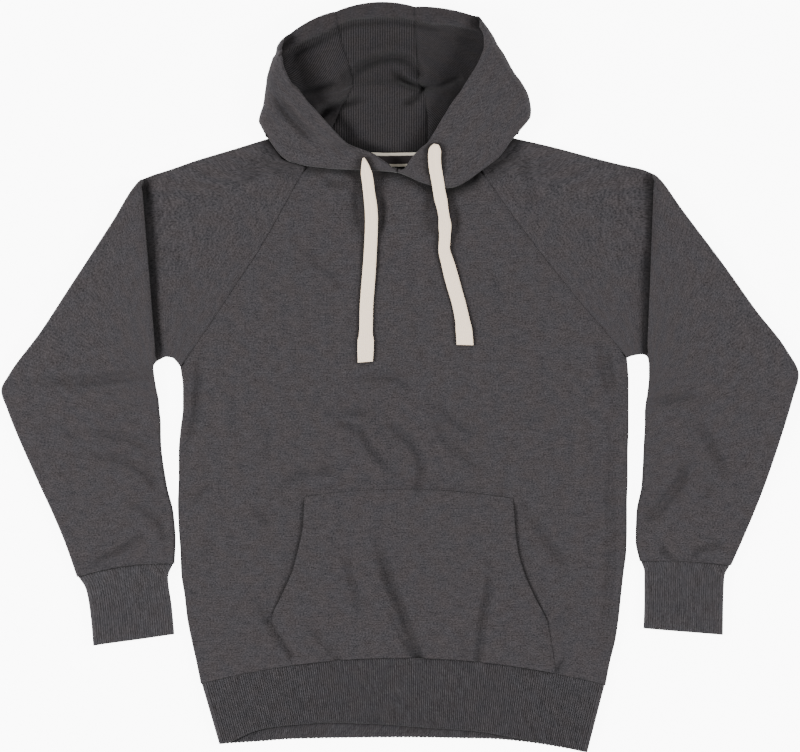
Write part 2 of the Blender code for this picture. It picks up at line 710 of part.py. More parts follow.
def rib_tube(name, ribs, stations, place):
    """Flat rib tube: ribs stand out of the upper side, the inside and the underside are plain.

    place(share, station, upper) gives the plan point across the tube at one station.
    """
    columns = 2 * ribs
    inner_columns = columns // COLUMNS_PER_INNER
    radius = RIB_HEIGHT / 2
    ceiling = RIB_HEIGHT - RIB_WALL
    outer_loops = []
    inner_loops = []
    for station in stations:
        left = place(0.0, station, True)
        right = place(1.0, station, True)
        width = distance(left, right)
        along = direction(left, right)
        back_along = (-along[0], -along[1])
        inset = radius / width
        left_arc = arc_points(left, along, along, radius, RIB_HEIGHT, 0.0, RIB_WALL, ceiling, SLEEVE_ARC)
        right_arc = arc_points(
            right, back_along, back_along, radius, RIB_HEIGHT, 0.0, RIB_WALL, ceiling, SLEEVE_ARC[::-1]
        )
        outer_loop = list(left_arc[0])
        inner_loop = list(left_arc[1])
        for i in range(1, columns):
            share = inset + (1.0 - 2.0 * inset) * i / columns
            x, y = place(share, station, True)
            outer_loop.append((x, y, RIB_HEIGHT + RIB_RISE * (i % 2)))
        outer_loop += right_arc[0]
        for i in range(1, inner_columns):
            share = inset + (1.0 - 2.0 * inset) * i / inner_columns
            x, y = place(share, station, True)
            inner_loop.append((x, y, ceiling))
        inner_loop += right_arc[1]
        for i in range(PLAIN_COLUMNS - 1, 0, -1):
            share = inset + (1.0 - 2.0 * inset) * i / PLAIN_COLUMNS
            x, y = place(share, station, False)
            outer_loop.append((x, y, 0.0))
            inner_loop.append((x, y, RIB_WALL))
        outer_loops.append(outer_loop)
        inner_loops.append(inner_loop)
    arc = len(SLEEVE_ARC)
    outer_at = loop_shares(arc, columns - 1, arc, PLAIN_COLUMNS - 1)
    inner_at = loop_shares(arc, inner_columns - 1, arc, PLAIN_COLUMNS - 1)
    tube_solid(name, outer_loops, outer_at, inner_loops, inner_at, CHARCOAL_RIB)


def loop_shares(*counts):
    """Places round a turn for runs of points, each run evenly over its quarter."""
    places = []
    for quarter, count in enumerate(counts):
        places += [(quarter + (i + 1) / (count + 1)) / len(counts) for i in range(count)]
    return [place - places[0] for place in places]


def make_cuff(side):
    """Rib cuff, drawn in below the sleeve's end."""
    rings = CUFF_RINGS[side]
    seam = SLEEVE_RINGS[side][-1]
    seam_line = ((seam.outer_x, seam.outer_y), (seam.inner_x, seam.inner_y))
    along = direction(*seam_line)
    down = (along[1], -along[0]) if along[0] > 0 else (-along[1], along[0])
    inset = 3.0
    start = [seam_line[0][k] + along[k] * inset + down[k] * GAP for k in (0, 1)]
    end = [seam_line[1][k] - along[k] * inset + down[k] * GAP for k in (0, 1)]
    lines = [(tuple(start), tuple(end))]
    lines += [((r.outer_x, r.outer_y), (r.inner_x, r.inner_y)) for r in rings[1:]]
    if side == "right":
        lines = [line[::-1] for line in lines]

    def place(share, station, upper):
        return mix(*lines[station], share)

    rib_tube("cuff_" + side, CUFF_RIBS, range(len(lines)), place)


def make_hem():
    """Hem band, its front edge drawn up higher than its back edge."""
    seam = BODY_SECTIONS[0]

    def seam_place(share):
        x = seam.left_x + (seam.right_x - seam.left_x) * share
        y = seam.left_y + (seam.right_y - seam.left_y) * share
        return (x, y + seam.bow * 4.0 * share * (1.0 - share) - GAP)

    width = seam.right_x - seam.left_x
    trim = HEM_INSET / width
    reach = HEM_FRONT_EDGE[-1][0] - HEM_FRONT_EDGE[0][0]

    def edge_place(share, upper):
        x = HEM_FRONT_EDGE[0][0] + reach * share
        return (x, curve_y(HEM_FRONT_EDGE if upper else HEM_BACK_EDGE, x))

    def place(share, station, upper):
        top = seam_place(trim + (1.0 - 2.0 * trim) * share)
        return mix(top, edge_place(share, upper), station)

    rib_tube("hem_band", HEM_RIBS, (0.0, 0.5, 1.0), place)


# Hood


def neck_front(side, share):
    """Front half of the neck seam: along the neckline to the raglan, then over the sleeve."""
    corner = NECKLINE[0] if side == "left" else NECKLINE[-1]
    if share <= FLAP_TURN:
        rim_x = HOOD_ROWS[side][0].rim_x
        x = rim_x + (corner[0] - rim_x) * share / FLAP_TURN
        return (x, curve_y(NECKLINE, x))
    chain = (corner, FRONT_NECK_SIDE[side], SHOULDER_NECK[side])
    place = 2.0 * (share - FLAP_TURN) / (1.0 - FLAP_TURN)
    leg = min(int(place), 1)
    return mix(chain[leg], chain[leg + 1], place - leg)


def neck_back(side, share):
    """Back of the neck seam from the shoulder to the hood's centre strip."""
    row = HOOD_ROWS[side][0]
    end = BACK_RAGLAN[side][-1]
    chain = (SHOULDER_NECK[side], BACK_NECK_SIDE[side], end, (row.seam_x, row.seam_y))
    marks = (0.0, *BASE_FRACTIONS)
    leg = 0
    while leg < 2 and marks[leg + 1] < share:
        leg += 1
    return mix(chain[leg], chain[leg + 1], (share - marks[leg]) / (marks[leg + 1] - marks[leg]))


def flap_shares(length):
    """Shares of the flap at its columns, the second one casing's width from the rim."""
    casing = min(CASING_WIDTH / length, 0.15)
    return [casing if share is None else share for share in FLAP_FRACTIONS]


def fold_ways(side, row):
    """Unit steps from the folded edge along the flap and along the base."""
    shoulder = SHOULDER_NECK[side]
    edge = (row.edge_x, row.edge_y)
    flap = blend_ways(
        direction(edge, (row.rim_x, row.rim_y)), direction(shoulder, FRONT_NECK_SIDE[side]), row.droop
    )
    base = blend_ways(
        direction(edge, (row.seam_x, row.seam_y)), direction(shoulder, BACK_NECK_SIDE[side]), row.droop
    )
    return flap, base


def fold_radius(row):
    """Radius of the folded edge of one hood row."""
    length = distance((row.rim_x, row.rim_y), (row.edge_x, row.edge_y))
    return min(HOOD_FOLD_RADIUS, (row.edge_z - row.edge_lift) / 2, 0.45 * length)


def hood_chain(side, row, wall):
    """Outer points of one hood row, from the rim over the folded edge to the centre seam.

    The second list holds the inner points of the folded edge alone.
    """
    sign = -1.0 if side == "left" else 1.0
    neck = HOOD_ROWS[side][0]
    neck_radius = fold_radius(neck)
    radius = fold_radius(row)
    rim, edge, seam = (row.rim_x, row.rim_y), (row.edge_x, row.edge_y), (row.seam_x, row.seam_y)
    neck_rim, neck_edge, neck_seam = neck[0:2], neck[3:5], neck[8:10]
    neck_start = step_from(neck_edge, fold_ways(side, neck)[1], neck_radius)
    flap_way, base_way = fold_ways(side, row)
    length = distance(rim, edge)
    chain = []
    for share in flap_shares(length):
        placed = share * (1.0 - radius / length)
        droop = [p - q for p, q in zip(neck_front(side, share), mix(neck_rim, neck_edge, placed))]
        over = row.overhang * math.sin(math.pi * min(1.0, share * 1.1)) ** 0.5
        x, y = mix(rim, edge, placed)
        x += droop[0] * row.droop + sign * 0.6 * over
        y += droop[1] * row.droop - 0.8 * over
        chain.append((x, y, row.rim_z + (row.edge_z - row.rim_z) * share))
    middle = (row.edge_z + row.edge_lift) / 2
    rise = (row.edge_z - row.edge_lift) / 2
    inner_fold = []
    for angle in HOOD_ARC:
        turn = math.radians(angle)
        way = flap_way if angle > 0 else base_way
        x, y = step_from(edge, way, radius * (1.0 - math.cos(turn)))
        chain.append((x, y, middle + rise * math.sin(turn)))
        x, y = step_from(edge, way, radius - max(radius - wall, 0.4) * math.cos(turn))
        inner_fold.append((x, y, middle + (rise - wall) * math.sin(turn)))
    start = chain[-1][:2]
    for share in BASE_FRACTIONS:
        droop = [p - q for p, q in zip(neck_back(side, share), mix(neck_start, neck_seam, share))]
        x, y = mix(start, seam, share)
        x += droop[0] * row.droop
        y += droop[1] * row.droop - row.dip * 4.0 * share * (1.0 - share)
        chain.append((x, y, row.edge_lift + (row.seam_lift - row.edge_lift) * share))
    return chain, inner_fold


def hood_walls(row, last):
    """Wall at each column of one hood row: casing at the rim, and the layered base."""
    full = row.base_z - row.seam_lift
    walls = [CASING, CASING] + [JERSEY] * (len(FLAP_FRACTIONS) - 2 + len(HOOD_ARC))
    walls += [JERSEY + (full - JERSEY) * smooth_step(share * 1.3) for share in BASE_FRACTIONS]
    return [CASING] * len(walls) if last else walls


def face_normals(grid, sign):
    """Unit normals of a grid of points, from its neighbours."""
    rows = len(grid)
    columns = len(grid[0])
    normals = []
    for r in range(rows):
        line = []
        for c in range(columns):
            across = Vector(grid[r][min(c + 1, columns - 1)]) - Vector(grid[r][max(c - 1, 0)])
            up = Vector(grid[min(r + 1, rows - 1)][c]) - Vector(grid[max(r - 1, 0)][c])
            line.append(sign * across.cross(up).normalized())
        normals.append(line)
    return normals


def make_hood_side(side):
    """Hood side panel: flap, folded edge and base as one wall."""
    rows = HOOD_ROWS[side]
    sign = -1.0 if side == "left" else 1.0
    folds = slice(len(FLAP_FRACTIONS), len(FLAP_FRACTIONS) + len(HOOD_ARC))
    walls = [hood_walls(row, row is rows[-1]) for row in rows]
    chains = [hood_chain(side, row, wall[folds.start]) for row, wall in zip(rows, walls)]
    outer = [chain for chain, _ in chains]
    outer[0] = [(x, y + NECK_GAP, z) for x, y, z in outer[0]]
    for row in outer:
        x, y, z = row[-1]
        row[-1] = (x + sign * GAP / 2, y, z)
    normals = face_normals(outer, sign)
    for column in range(folds.start):
        across = Vector(outer[0][column + 1]) - Vector(outer[0][max(column - 1, 0)])
        outward = sign * across.cross(Vector((0, 0, 1))).normalized()
        normals[0][column] = (outward + Vector((0, 0, 0.3))).normalized()
    inner = []
    for row, points, ways, wall, (_, inner_fold) in zip(rows, outer, normals, walls, chains):
        line = [tuple(Vector(p) - way * depth) for p, way, depth in zip(points, ways, wall)]
        if row is rows[0]:
            inner_fold = [(x, y + NECK_GAP, z) for x, y, z in inner_fold]
        flared = len(HOOD_ARC) // 2 + 1 if row.droop > 0.85 else 0
        line[folds.start + flared:folds.stop] = inner_fold[flared:]
        line[-1] = (*points[-1][:2], row.base_z)
        inner.append(line)
    sheet_solid("hood_" + side, outer, inner, CHARCOAL)


def make_hood_center():
    """Centre strip of the hood, from the back neck up to the rim over the crown."""
    outer = []
    inner = []
    for left, right, bow in zip(HOOD_ROWS["left"], HOOD_ROWS["right"], CENTER_BOWS):
        outer_row = []
        inner_row = []
        for i in range(CENTER_COLUMNS + 1):
            share = i / CENTER_COLUMNS
            x = left.seam_x + GAP / 2 + (right.seam_x - left.seam_x - GAP) * share
            swell = 4.0 * share * (1.0 - share)
            y = left.seam_y + (right.seam_y - left.seam_y) * share + bow * swell
            lift = left.seam_lift + (right.seam_lift - left.seam_lift) * share
            top = left.base_z + (right.base_z - left.base_z) * share
            if top > JERSEY and left.seam_lift == 0:
                top += CENTER_CROWN * swell * min(1.0, (top - JERSEY) / 4.0)
            if left is HOOD_ROWS["left"][0]:
                y = curve_y(BACK_NECKLINE, x) + GAP
            outer_row.append((x, y, lift))
            inner_row.append((x, y, top))
        outer.append(outer_row)
        inner.append(inner_row)
    sheet_solid("hood_center", outer, inner, CHARCOAL_INSIDE)


def make_neck_tape():
    """Tape over the back neck seam, inside the hood."""
    lower = JERSEY + GAP
    upper = HOOD_ROWS["left"][1].base_z + 1.6
    shares = [(i + 0.5) / (TAPE_COLUMNS + 1) for i in range(TAPE_COLUMNS + 1)]
    line = spread(BACK_NECKLINE, shares)
    under = [
        [(x, y - TAPE_BELOW, lower) for x, y in line],
        [(x, y, lower + 0.6) for x, y in line],
        [(x, y + TAPE_ABOVE, upper) for x, y in line],
    ]
    over = [[(x, y, z + TAPE) for x, y, z in row] for row in under]
    sheet_solid("neck_tape", over, under, CHARCOAL_RIB)


# Drawcords


def make_cord(side):
    """Flat drawcord that lies over the hood and down the front."""
    route = CORD_ROUTES[side]
    length = curve_length(route)
    count = round(length / CORD_STEP)
    points = spread(route, [i / count for i in range(count + 1)])
    curve = bpy.data.curves.new("drawcord_" + side, "CURVE")
    curve.dimensions = "3D"
    curve.twist_mode = "Z_UP"
    curve.bevel_depth = CORD_THICKNESS / 2 * MM
    curve.bevel_resolution = 2
    curve.extrude = (CORD_WIDTH - CORD_THICKNESS) / 2 * MM
    curve.use_fill_caps = True
    line = curve.splines.new("POLY")
    line.points.add(count)
    for vertex, point in zip(line.points, points):
        vertex.co = (*(value * MM for value in point), 1.0)
        vertex.tilt = math.pi / 2
    curve.materials.append(material("drawcord_" + side, CREAM))
    cord = bpy.data.objects.new("drawcord_" + side, curve)
    bpy.context.collection.objects.link(cord)


def main():
    """Build every piece in an empty scene."""
    for item in list(bpy.data.objects):
        bpy.data.objects.remove(item)
    make_body()
    make_hem()
    for side in ("left", "right"):
        make_sleeve(side)
        make_cuff(side)
        make_hood_side(side)
        make_cord(side)
    make_hood_center()
    make_neck_tape()


main()
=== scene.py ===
"""Looks of a heather charcoal pullover hoodie that is laid flat with its front up.

Frame: +X across the chest, +Y from the hem to the hood, +Z up, the underside on z = 0. Left and
right are those of a viewer who looks down on the garment. Tables and sizes are in millimetres,
and points become metres when a mesh is made. UV maps are in metres of cloth: U runs along the
knitted courses and V up the wales.
"""

import logging
import math
from dataclasses import dataclass, field
from enum import Enum

import bmesh
import bpy
import numpy as np
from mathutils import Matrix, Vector
from mathutils.bvhtree import BVHTree


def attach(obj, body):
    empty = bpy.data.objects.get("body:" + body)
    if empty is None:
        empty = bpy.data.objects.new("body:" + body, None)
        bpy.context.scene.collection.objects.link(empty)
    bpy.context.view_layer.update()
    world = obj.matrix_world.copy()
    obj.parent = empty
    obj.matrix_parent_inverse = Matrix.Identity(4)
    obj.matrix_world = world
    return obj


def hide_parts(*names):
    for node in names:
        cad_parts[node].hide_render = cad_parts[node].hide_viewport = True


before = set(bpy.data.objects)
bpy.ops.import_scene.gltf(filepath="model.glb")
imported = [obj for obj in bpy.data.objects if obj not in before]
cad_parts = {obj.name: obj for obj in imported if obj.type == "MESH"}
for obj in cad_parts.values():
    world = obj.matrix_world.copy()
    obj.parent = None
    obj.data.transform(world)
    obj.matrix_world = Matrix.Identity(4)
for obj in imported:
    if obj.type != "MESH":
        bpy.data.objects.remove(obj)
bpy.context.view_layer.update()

MM = 0.001
Array = np.ndarray
Points = tuple[tuple[float, ...], ...]
log = logging.getLogger("hoodie")

# Sections of the body from the hem seam to the underarm: left x y, right x y, bow of the row
BODY_SECTIONS = (
    (-238.5, -368, 247.2, -370, 32), (-244, -341, 252.6, -342, 34), (-250, -314, 259.4, -314, 36),
    (-255, -288, 263.2, -288, 38), (-258, -262, 266, -262, 40), (-262, -235, 269, -235, 42),
    (-263, -209, 272.2, -209, 44), (-265, -181, 273, -181, 46), (-266, -151, 273, -151, 42),
    (-265, -121, 274, -121, 37), (-265, -91, 274, -91, 32), (-263, -64, 275, -61, 28),
    (-260, -37, 275, -32, 23), (-260, -13, 275, -5, 18), (-263, 12, 273, 23, 14),
)
# From one section to the next, the hem seam, the y above which the front lies still, the bow at the neck
SECTION_PITCH = 27
HEM_SEAM_Y = -370
NECK_Y = 258
NECK_BOW = -3.0
# Sides of the pocket at the first eight sections: left x, right x
POCKET_SIDES = (
    (-129, 189), (-140, 184), (-154, 178), (-142, 163), (-129, 150), (-121, 142), (-116, 139), (-115, 137),
)
NECKLINE = ((-112, 253), (-80, 250), (-41, 248), (-2, 244.5), (30, 232), (62, 229), (96, 250))
BACK_NECKLINE = ((-100, 265), (-88, 264), (-50, 262), (-11, 261), (34, 262), (75, 264))
FRONT_RAGLAN = {
    "left": ((-263, 12), (-225, 67), (-195, 113), (-166, 157), (-112, 253)),
    "right": ((273, 23), (253, 48), (211, 97), (152, 172), (96, 250)),
}
BACK_RAGLAN = {
    "left": ((-263, 12), (-190, 133), (-100, 265)),
    "right": ((273, 23), (182, 138), (75, 264)),
}
SHOULDER_NECK = {"left": (-158, 286), "right": (136, 287)}
FRONT_NECK_SIDE = {"left": (-139, 260), "right": (117, 264)}
BACK_NECK_SIDE = {"left": (-129, 274), "right": (107, 271)}

# Rings of the sleeves: outer x y, inner x y, height, tuck, straight
SLEEVE_RINGS = {
    "left": (
        (-158, 286, -263, 12, 6.8, 0.0, 0.0), (-200, 273, -268, 19, 7.4, 0.0, 0.2),
        (-245, 259.5, -273, 23, 7.8, 0.0, 0.5), (-275, 249, -280, 24, 7.6, 0.0, 0.7),
        (-297, 242, -286, 21.5, 7.0, -0.4, 0.9), (-307, 238, -291, 18.5, 7.0, -0.8, 1.0),
        (-311, 236.5, -293, 16.5, 7.0, 6.4, 1.0), (-319, 228, -295, 12, 7.0, 7.0, 1.0),
        (-343, 189, -294.2, 3, 7.2, 5.8, 1.0), (-397, 106, -291.6, -13, 7.6, 3.8, 1.0),
        (-431, 54, -288.6, -28, 7.8, 2.8, 1.0), (-468, 4, -287.6, -41, 7.8, 2.0, 1.0),
        (-478, -16, -286.2, -54, 7.8, 1.6, 1.0), (-471, -38, -286, -72, 7.8, 1.2, 1.0),
        (-434, -125, -278.7, -131, 7.8, 0.4, 1.0), (-416, -164, -271, -163, 7.8, 0.2, 1.0),
        (-401, -200, -268.4, -196, 7.8, 0.0, 1.0), (-387, -240, -269.8, -224, 7.6, 0.0, 1.0),
    ),
    "right": (
        (136, 287, 273, 23, 6.8, 0.0, 0.0), (184, 276, 278.5, 25, 7.4, 0.0, 0.2),
        (229, 264, 285, 26.5, 7.8, 0.0, 0.5), (265, 255, 290.5, 27, 7.6, 0.0, 0.7),
        (292, 249, 295, 26, 7.0, -0.4, 0.9), (303, 244.5, 297, 24, 7.0, -0.8, 1.0),
        (307, 242.5, 298, 21.5, 7.0, 6.4, 1.0), (314, 236, 299, 14, 7.0, 7.0, 1.0),
        (337, 204, 299, 2, 7.2, 5.8, 1.0), (391, 132, 297, -20, 7.6, 3.8, 1.0),
        (428, 80, 295, -32, 7.8, 2.8, 1.0), (464, 33.5, 294, -44, 7.8, 2.0, 1.0),
        (479.2, 3, 294, -57, 7.8, 1.6, 1.0), (473, -22, 293, -76, 7.8, 1.2, 1.0),
        (440.5, -124, 290, -131, 7.8, 0.4, 1.0), (425, -164, 284, -163, 7.8, 0.2, 1.0),
        (410, -199, 283, -196, 7.8, 0.0, 1.0), (398, -226, 288, -221, 7.6, 0.0, 1.0),
    ),
}
# Rings round the shoulder's tuck, and its share at the underarm and at the shoulder
TUCK_START, TUCK_FOOT, TUCK_CREST, TUCK_PAST, TUCK_END = range(4, 9)
SHOULDER_TUCK = (0.8, 1.3)
CUFF_BOW = {"left": 5.0, "right": 2.2}
CUFF_RINGS = {
    "left": ((-377, -254, -277, -240), (-371, -288, -272.5, -275), (-368, -322, -269.5, -308)),
    "right": ((390.5, -239, 293, -234), (389, -274, 293, -268), (388.5, -309, 292, -301)),
}
HEM_FRONT_EDGE = (
    (-217, -440), (-202, -437), (-164, -422), (-98, -415), (-32, -416),
    (37, -421), (93, -425), (133, -432), (165, -438), (226, -450),
)
HEM_BACK_EDGE = (
    (-217, -440), (-167, -436.8), (-119, -433.8), (1, -432.2), (80, -433.4), (121, -434.6), (169, -440),
    (226, -450),
)

# Rows of the hood: rim x y z, edge x y z, droop, overhang, seam x y, top z, seam lift, edge lift, sag
RIM, _, RIM_Z, EDGE, _, EDGE_Z, DROOP, OVER, SEAM, SEAM_Y, TOP, LIFT, FOOT, SAG = range(14)
HOOD_ROWS = {
    "left": (
        (-1, 244, 7.2, -158, 286, 7.2, 1.0, 0, -88, 264, 2.2, 0, 0, 0),
        (-1, 245.5, 12, -160.5, 289.5, 13, 1.0, 3.0, -88, 269, 4.0, 0, 0, 0),
        (-3, 247.5, 15, -163.5, 295, 16.5, 0.9, 3.8, -87, 275, 6.0, 0, 0, 0),
        (-6, 249, 16.8, -166.5, 301, 18.6, 0.74, 2.4, -86, 282, 8.0, 0, 0, 0),
        (-13, 254, 18, -169, 307, 20.5, 0.56, 0, -83, 290, 9.5, 0, 0, 2),
        (-27, 262, 20, -167, 316.5, 22, 0.42, 0, -80, 300, 10, 0, 0, 4),
        (-44, 268, 22, -164, 325, 23, 0.3, 0, -75, 311, 9, 0, 0, 8),
        (-59, 276, 23.5, -162.5, 334, 23.5, 0.2, 0, -70, 322, 9, 0, 0, 12),
        (-76, 292, 25, -161.5, 342, 24, 0.12, 0, -64, 332, 11, 0, 0, 15),
        (-94, 312, 26.5, -160.3, 350, 24.5, 0.06, 0, -59, 342, 15, 0, 0, 16),
        (-109, 328, 27.5, -159.5, 358, 25, 0.03, 0, -56, 348, 14, 0, 0, 16),
        (-119, 340, 28, -158, 364, 25, 0, 0, -56, 351, 6.5, 0, 0, 16),
        (-129, 349, 28.5, -156, 371, 25, 0, 0, -56, 358, 3.6, 0, 0, 14),
        (-135, 359, 29, -154, 377, 25.5, 0, 0, -59, 371, 3.0, 0, 0, 8),
        (-140, 370, 29, -152, 383, 26, 0, 0, -64, 386, 3.0, 0, 0, 4),
        (-142, 378, 29, -149, 387, 26.5, 0, 0, -69, 401, 4.0, 1.5, 3, 1),
        (-144.5, 383, 29, -147, 396, 27, 0, 0, -72, 416, 9.5, 6, 8, 0),
        (-145.5, 385, 29, -143, 402.4, 27.5, 0, 0, -74, 425, 14, 10, 12, -1),
        (-145.5, 387, 29, -137.6, 407.6, 27, 0, 0, -76, 437.6, 22, 18, 16, -4),
    ),
    "right": (
        (-3, 243, 8.4, 136, 287, 7.2, 1.0, 0, 34, 262, 2.2, 0, 0, 0),
        (-3.5, 245, 14, 140.5, 290.5, 13.5, 1.0, 4.6, 34, 269, 4.0, 0, 0, 0),
        (-1, 246.5, 17, 145.5, 296.5, 17, 0.93, 6.4, 34, 275, 6.0, 0, 0, 0),
        (3.5, 248, 18, 151.5, 303.5, 19, 0.8, 5.8, 34, 282, 8.0, 0, 0, 0),
        (9.5, 254.5, 18.5, 157.5, 312.5, 21, 0.62, 3, 34, 290, 9.5, 0, 0, 0),
        (15.5, 262.5, 21, 158, 320, 23, 0.46, 0, 34, 300, 11, 0, 0, 0),
        (23, 270.5, 23, 157, 328.5, 24.5, 0.34, 0, 34, 311, 12, 0, 0, 0),
        (31.5, 277.5, 25, 155, 337, 25.5, 0.24, 0, 32, 322, 13, 0, 0, 0),
        (40, 290, 26.5, 152, 344, 26.5, 0.16, 0, 31, 332, 14, 0, 0, 0),
        (50, 307, 28, 148, 351, 27, 0.1, 0, 31, 341, 15, 0, 0, 0),
        (58, 320, 29, 144, 357, 27.5, 0.05, 0, 29, 346, 14, 0, 0, 0),
        (65, 331, 30, 140, 362, 28, 0.02, 0, 26, 349, 6.5, 0, 0, 0),
        (72, 340, 30.5, 136, 368, 28, 0, 0, 22, 355, 3.6, 0, 0, 0),
        (81, 354, 31, 131, 377, 28.5, 0, 0, 22, 371, 3.0, 0, 0, 0),
        (90, 368, 31.5, 125, 388, 29, 0, 0, 21, 386, 3.0, 0, 0, 0),
        (98, 383, 31.5, 118, 398, 29.5, 0, 0, 20, 401, 4.0, 1.5, 3, 0),
        (102, 397, 31, 113, 408, 30, 0, 0, 19, 414, 9.5, 6, 8, 0),
        (102, 408, 30.5, 107, 417, 29.5, 0, 0, 19, 422, 14, 10, 12, -1),
        (99, 419, 30, 97, 430.5, 28, 0, 0, 18, 443.2, 22, 18, 16, -3.4),
    ),
}
CENTER_BOWS = (0, -2, -1, 0, 0, 0, 0, 0, 2, 4, 4, 4, 2, 0, 0, 2, 4, 5, 8.2)

# Centre line of the cords: x y z
CORD_ROUTES = {
    "left": (
        (-43, 262.4, 22.6), (-41.4, 254.4, 21), (-39.6, 244, 18.4), (-38, 234, 15.4),
        (-36.6, 222, 13.6), (-34.4, 204, 12.4), (-33.6, 186, 11.4), (-34.8, 154, 10.3),
        (-37, 119.4, 10.0), (-39.4, 88, 10.1), (-40.2, 56, 10.1), (-41, 18, 10.1),
    ),
    "right": (
        (44, 278.6, 27.4), (42.2, 270, 25.6), (42, 260, 23.8), (42.9, 250, 22), (44.6, 240.5, 20),
        (46.3, 231, 18), (48, 220, 15.2), (51.5, 203, 12.8), (54.3, 184, 11.6), (54.3, 166, 10.9),
        (53.7, 152, 10.3), (58, 136, 10.0), (64.6, 111, 10.0), (71.4, 87, 10.0),
        (76.6, 61, 10.1), (78.6, 38.4, 10.1),
    ),
}


class Side(Enum):
    """Half of the garment, as seen from above."""

    LEFT = "left"
    RIGHT = "right"

    @property
    def sign(self) -> float:
        """-1 on the left and 1 on the right."""
        return -1.0 if self is Side.LEFT else 1.0


@dataclass(frozen=True)
class Cloth:
    """Walls and heights that the pieces share."""

    jersey: float = 2.2
    casing: float = 4.0
    rib: float = 3.0
    tape: float = 0.8
    gap: float = -0.2
    neck_gap: float = 0.1
    ease_off: float = 0.15
    body_height: float = 6.8
    loft: float = 1.2
    rib_height: float = 7.4
    fold: float = 3.4


CLOTH = Cloth()


# Curves, swell and creases


def ease(value: Array) -> Array:
    """Ease from 0 to 1."""
    value = np.clip(value, 0.0, 1.0)
    return value * value * (3.0 - 2.0 * value)


def arch(share: Array) -> Array:
    """Arch over a span: 0 at its ends and 1 in its middle."""
    return 4 * share * (1 - share)


def mound(distance: Array, width: float | Array) -> Array:
    """Soft mound: 1 at no distance, and almost 0 past twice its width."""
    return np.exp(-((distance / width) ** 2))


def unit(vectors: Array) -> Array:
    """Vectors of length 1, or 0 where they have none."""
    return vectors / np.maximum(np.linalg.norm(vectors, axis=-1, keepdims=True), 1e-9)


def graded(count: int, fine: float = 0.3, run: int = 5, start: bool = True, end: bool = True) -> Array:
    """Places from 0 to 1, closer together near the ends.

    Args:
        count: number of steps.
        fine: first step as a share of a full one.
        run: number of steps over which they grow.
        start: whether the steps are fine at the start.
        end: whether they are fine at the end.

    Returns:
        count + 1 places.
    """
    step = np.ones(count)
    ramp = np.linspace(fine, 1.0, run)
    if start:
        step[:run] = ramp
    if end:
        step[-run:] = ramp[::-1]
    return np.concatenate([[0.0], np.cumsum(step)]) / step.sum()


def flow(knots: Array, values: Array, at: Array) -> Array:
    """Monotone cubic through rows of values, which never overshoots between rows.

    Args:
        knots: rising place of each row.
        values: one row of numbers for each knot.
        at: places to read.

    Returns:
        One row of numbers for each place.
    """
    knots, values = np.asarray(knots, float), np.asarray(values, float)
    step = np.diff(knots)[:, None]
    slope = np.diff(values, axis=0) / step
    before, after = slope[:-1], slope[1:]
    same = before * after > 0
    near, far = 2 * step[1:] + step[:-1], step[1:] + 2 * step[:-1]
    mean = (near + far) / (near / np.where(same, before, 1) + far / np.where(same, after, 1))
    tangent = np.concatenate([slope[:1], np.where(same, mean, 0.0), slope[-1:]])
    row = np.clip(np.searchsorted(knots, at, side="right") - 1, 0, len(knots) - 2)
    h = step[row]
    t = ((at - knots[row]) / h[:, 0])[:, None]
    return (
        (2 * t**3 - 3 * t**2 + 1) * values[row] + (t**3 - 2 * t**2 + t) * h * tangent[row]
        + (3 * t**2 - 2 * t**3) * values[row + 1] + (t**3 - t**2) * h * tangent[row + 1]
    )


class Line:
    """Smooth curve through points, which is walked by its length."""

    def __init__(self, points: Points | Array, smooth: bool = True) -> None:
        """Sample the curve.

        Args:
            points: points that it goes through.
            smooth: False for straight legs between them.
        """
        points = np.asarray(points, float)
        if smooth:
            last = len(points) - 1
            places = np.linspace(0, last, 32 * last + 1)
            row = np.clip(places.astype(int), 0, last - 1)
            t = (places - row)[:, None]
            a, b, c, d = (points[np.clip(row + j, 0, last)] for j in (-1, 0, 1, 2))
            points = 0.5 * (
                2 * b + (c - a) * t + (2 * a - 5 * b + 4 * c - d) * t**2 + (3 * b - a - 3 * c + d) * t**3
            )
        self.points = points
        steps = np.linalg.norm(np.diff(points, axis=0), axis=1)
        self.reached = np.concatenate([[0.0], np.cumsum(steps)])
        self.length = float(self.reached[-1])

    def at(self, lengths: Array) -> Array:
        """Points at the lengths from the start."""
        return np.stack([np.interp(lengths, self.reached, c) for c in self.points.T], axis=-1)

    def part(self, shares: Array) -> Array:
        """Points at shares of the length."""
        return self.at(np.asarray(shares) * self.length)

    def y_at(self, x: Array) -> Array:
        """Y at an x, for a curve that runs along x."""
        return np.interp(x, self.points[:, 0], self.points[:, 1])

    def away(self, x: Array, y: Array, legs: int = 18) -> tuple[Array, Array]:
        """Plan distance of points from the curve, and where along it they are.

        Args:
            x: x of the points.
            y: y of the points.
            legs: straight legs that stand for the curve.

        Returns:
            The distance, positive to the left of the curve's way, and the share of its length.
        """
        knots = self.part(np.linspace(0, 1, legs + 1))[:, :2]
        gap, share = np.full(np.shape(x), 1e9), np.zeros(np.shape(x))
        for i, ((ax, ay), (bx, by)) in enumerate(zip(knots, knots[1:])):
            dx, dy = bx - ax, by - ay
            t = np.clip(((x - ax) * dx + (y - ay) * dy) / (dx * dx + dy * dy), 0, 1)
            away = np.hypot(x - ax - dx * t, y - ay - dy * t)
            away = np.where(dx * (y - ay) - dy * (x - ax) < 0, -away, away)
            near = np.abs(away) < np.abs(gap)
            gap, share = np.where(near, away, gap), np.where(near, (i + t) / legs, share)
        return gap, share


# A crease's lip, in widths of the crease from its middle line, and the share of it that fades at an end
LIP_OFF = 1.7
LIP_WIDTH = 1.1
FADE = 0.35


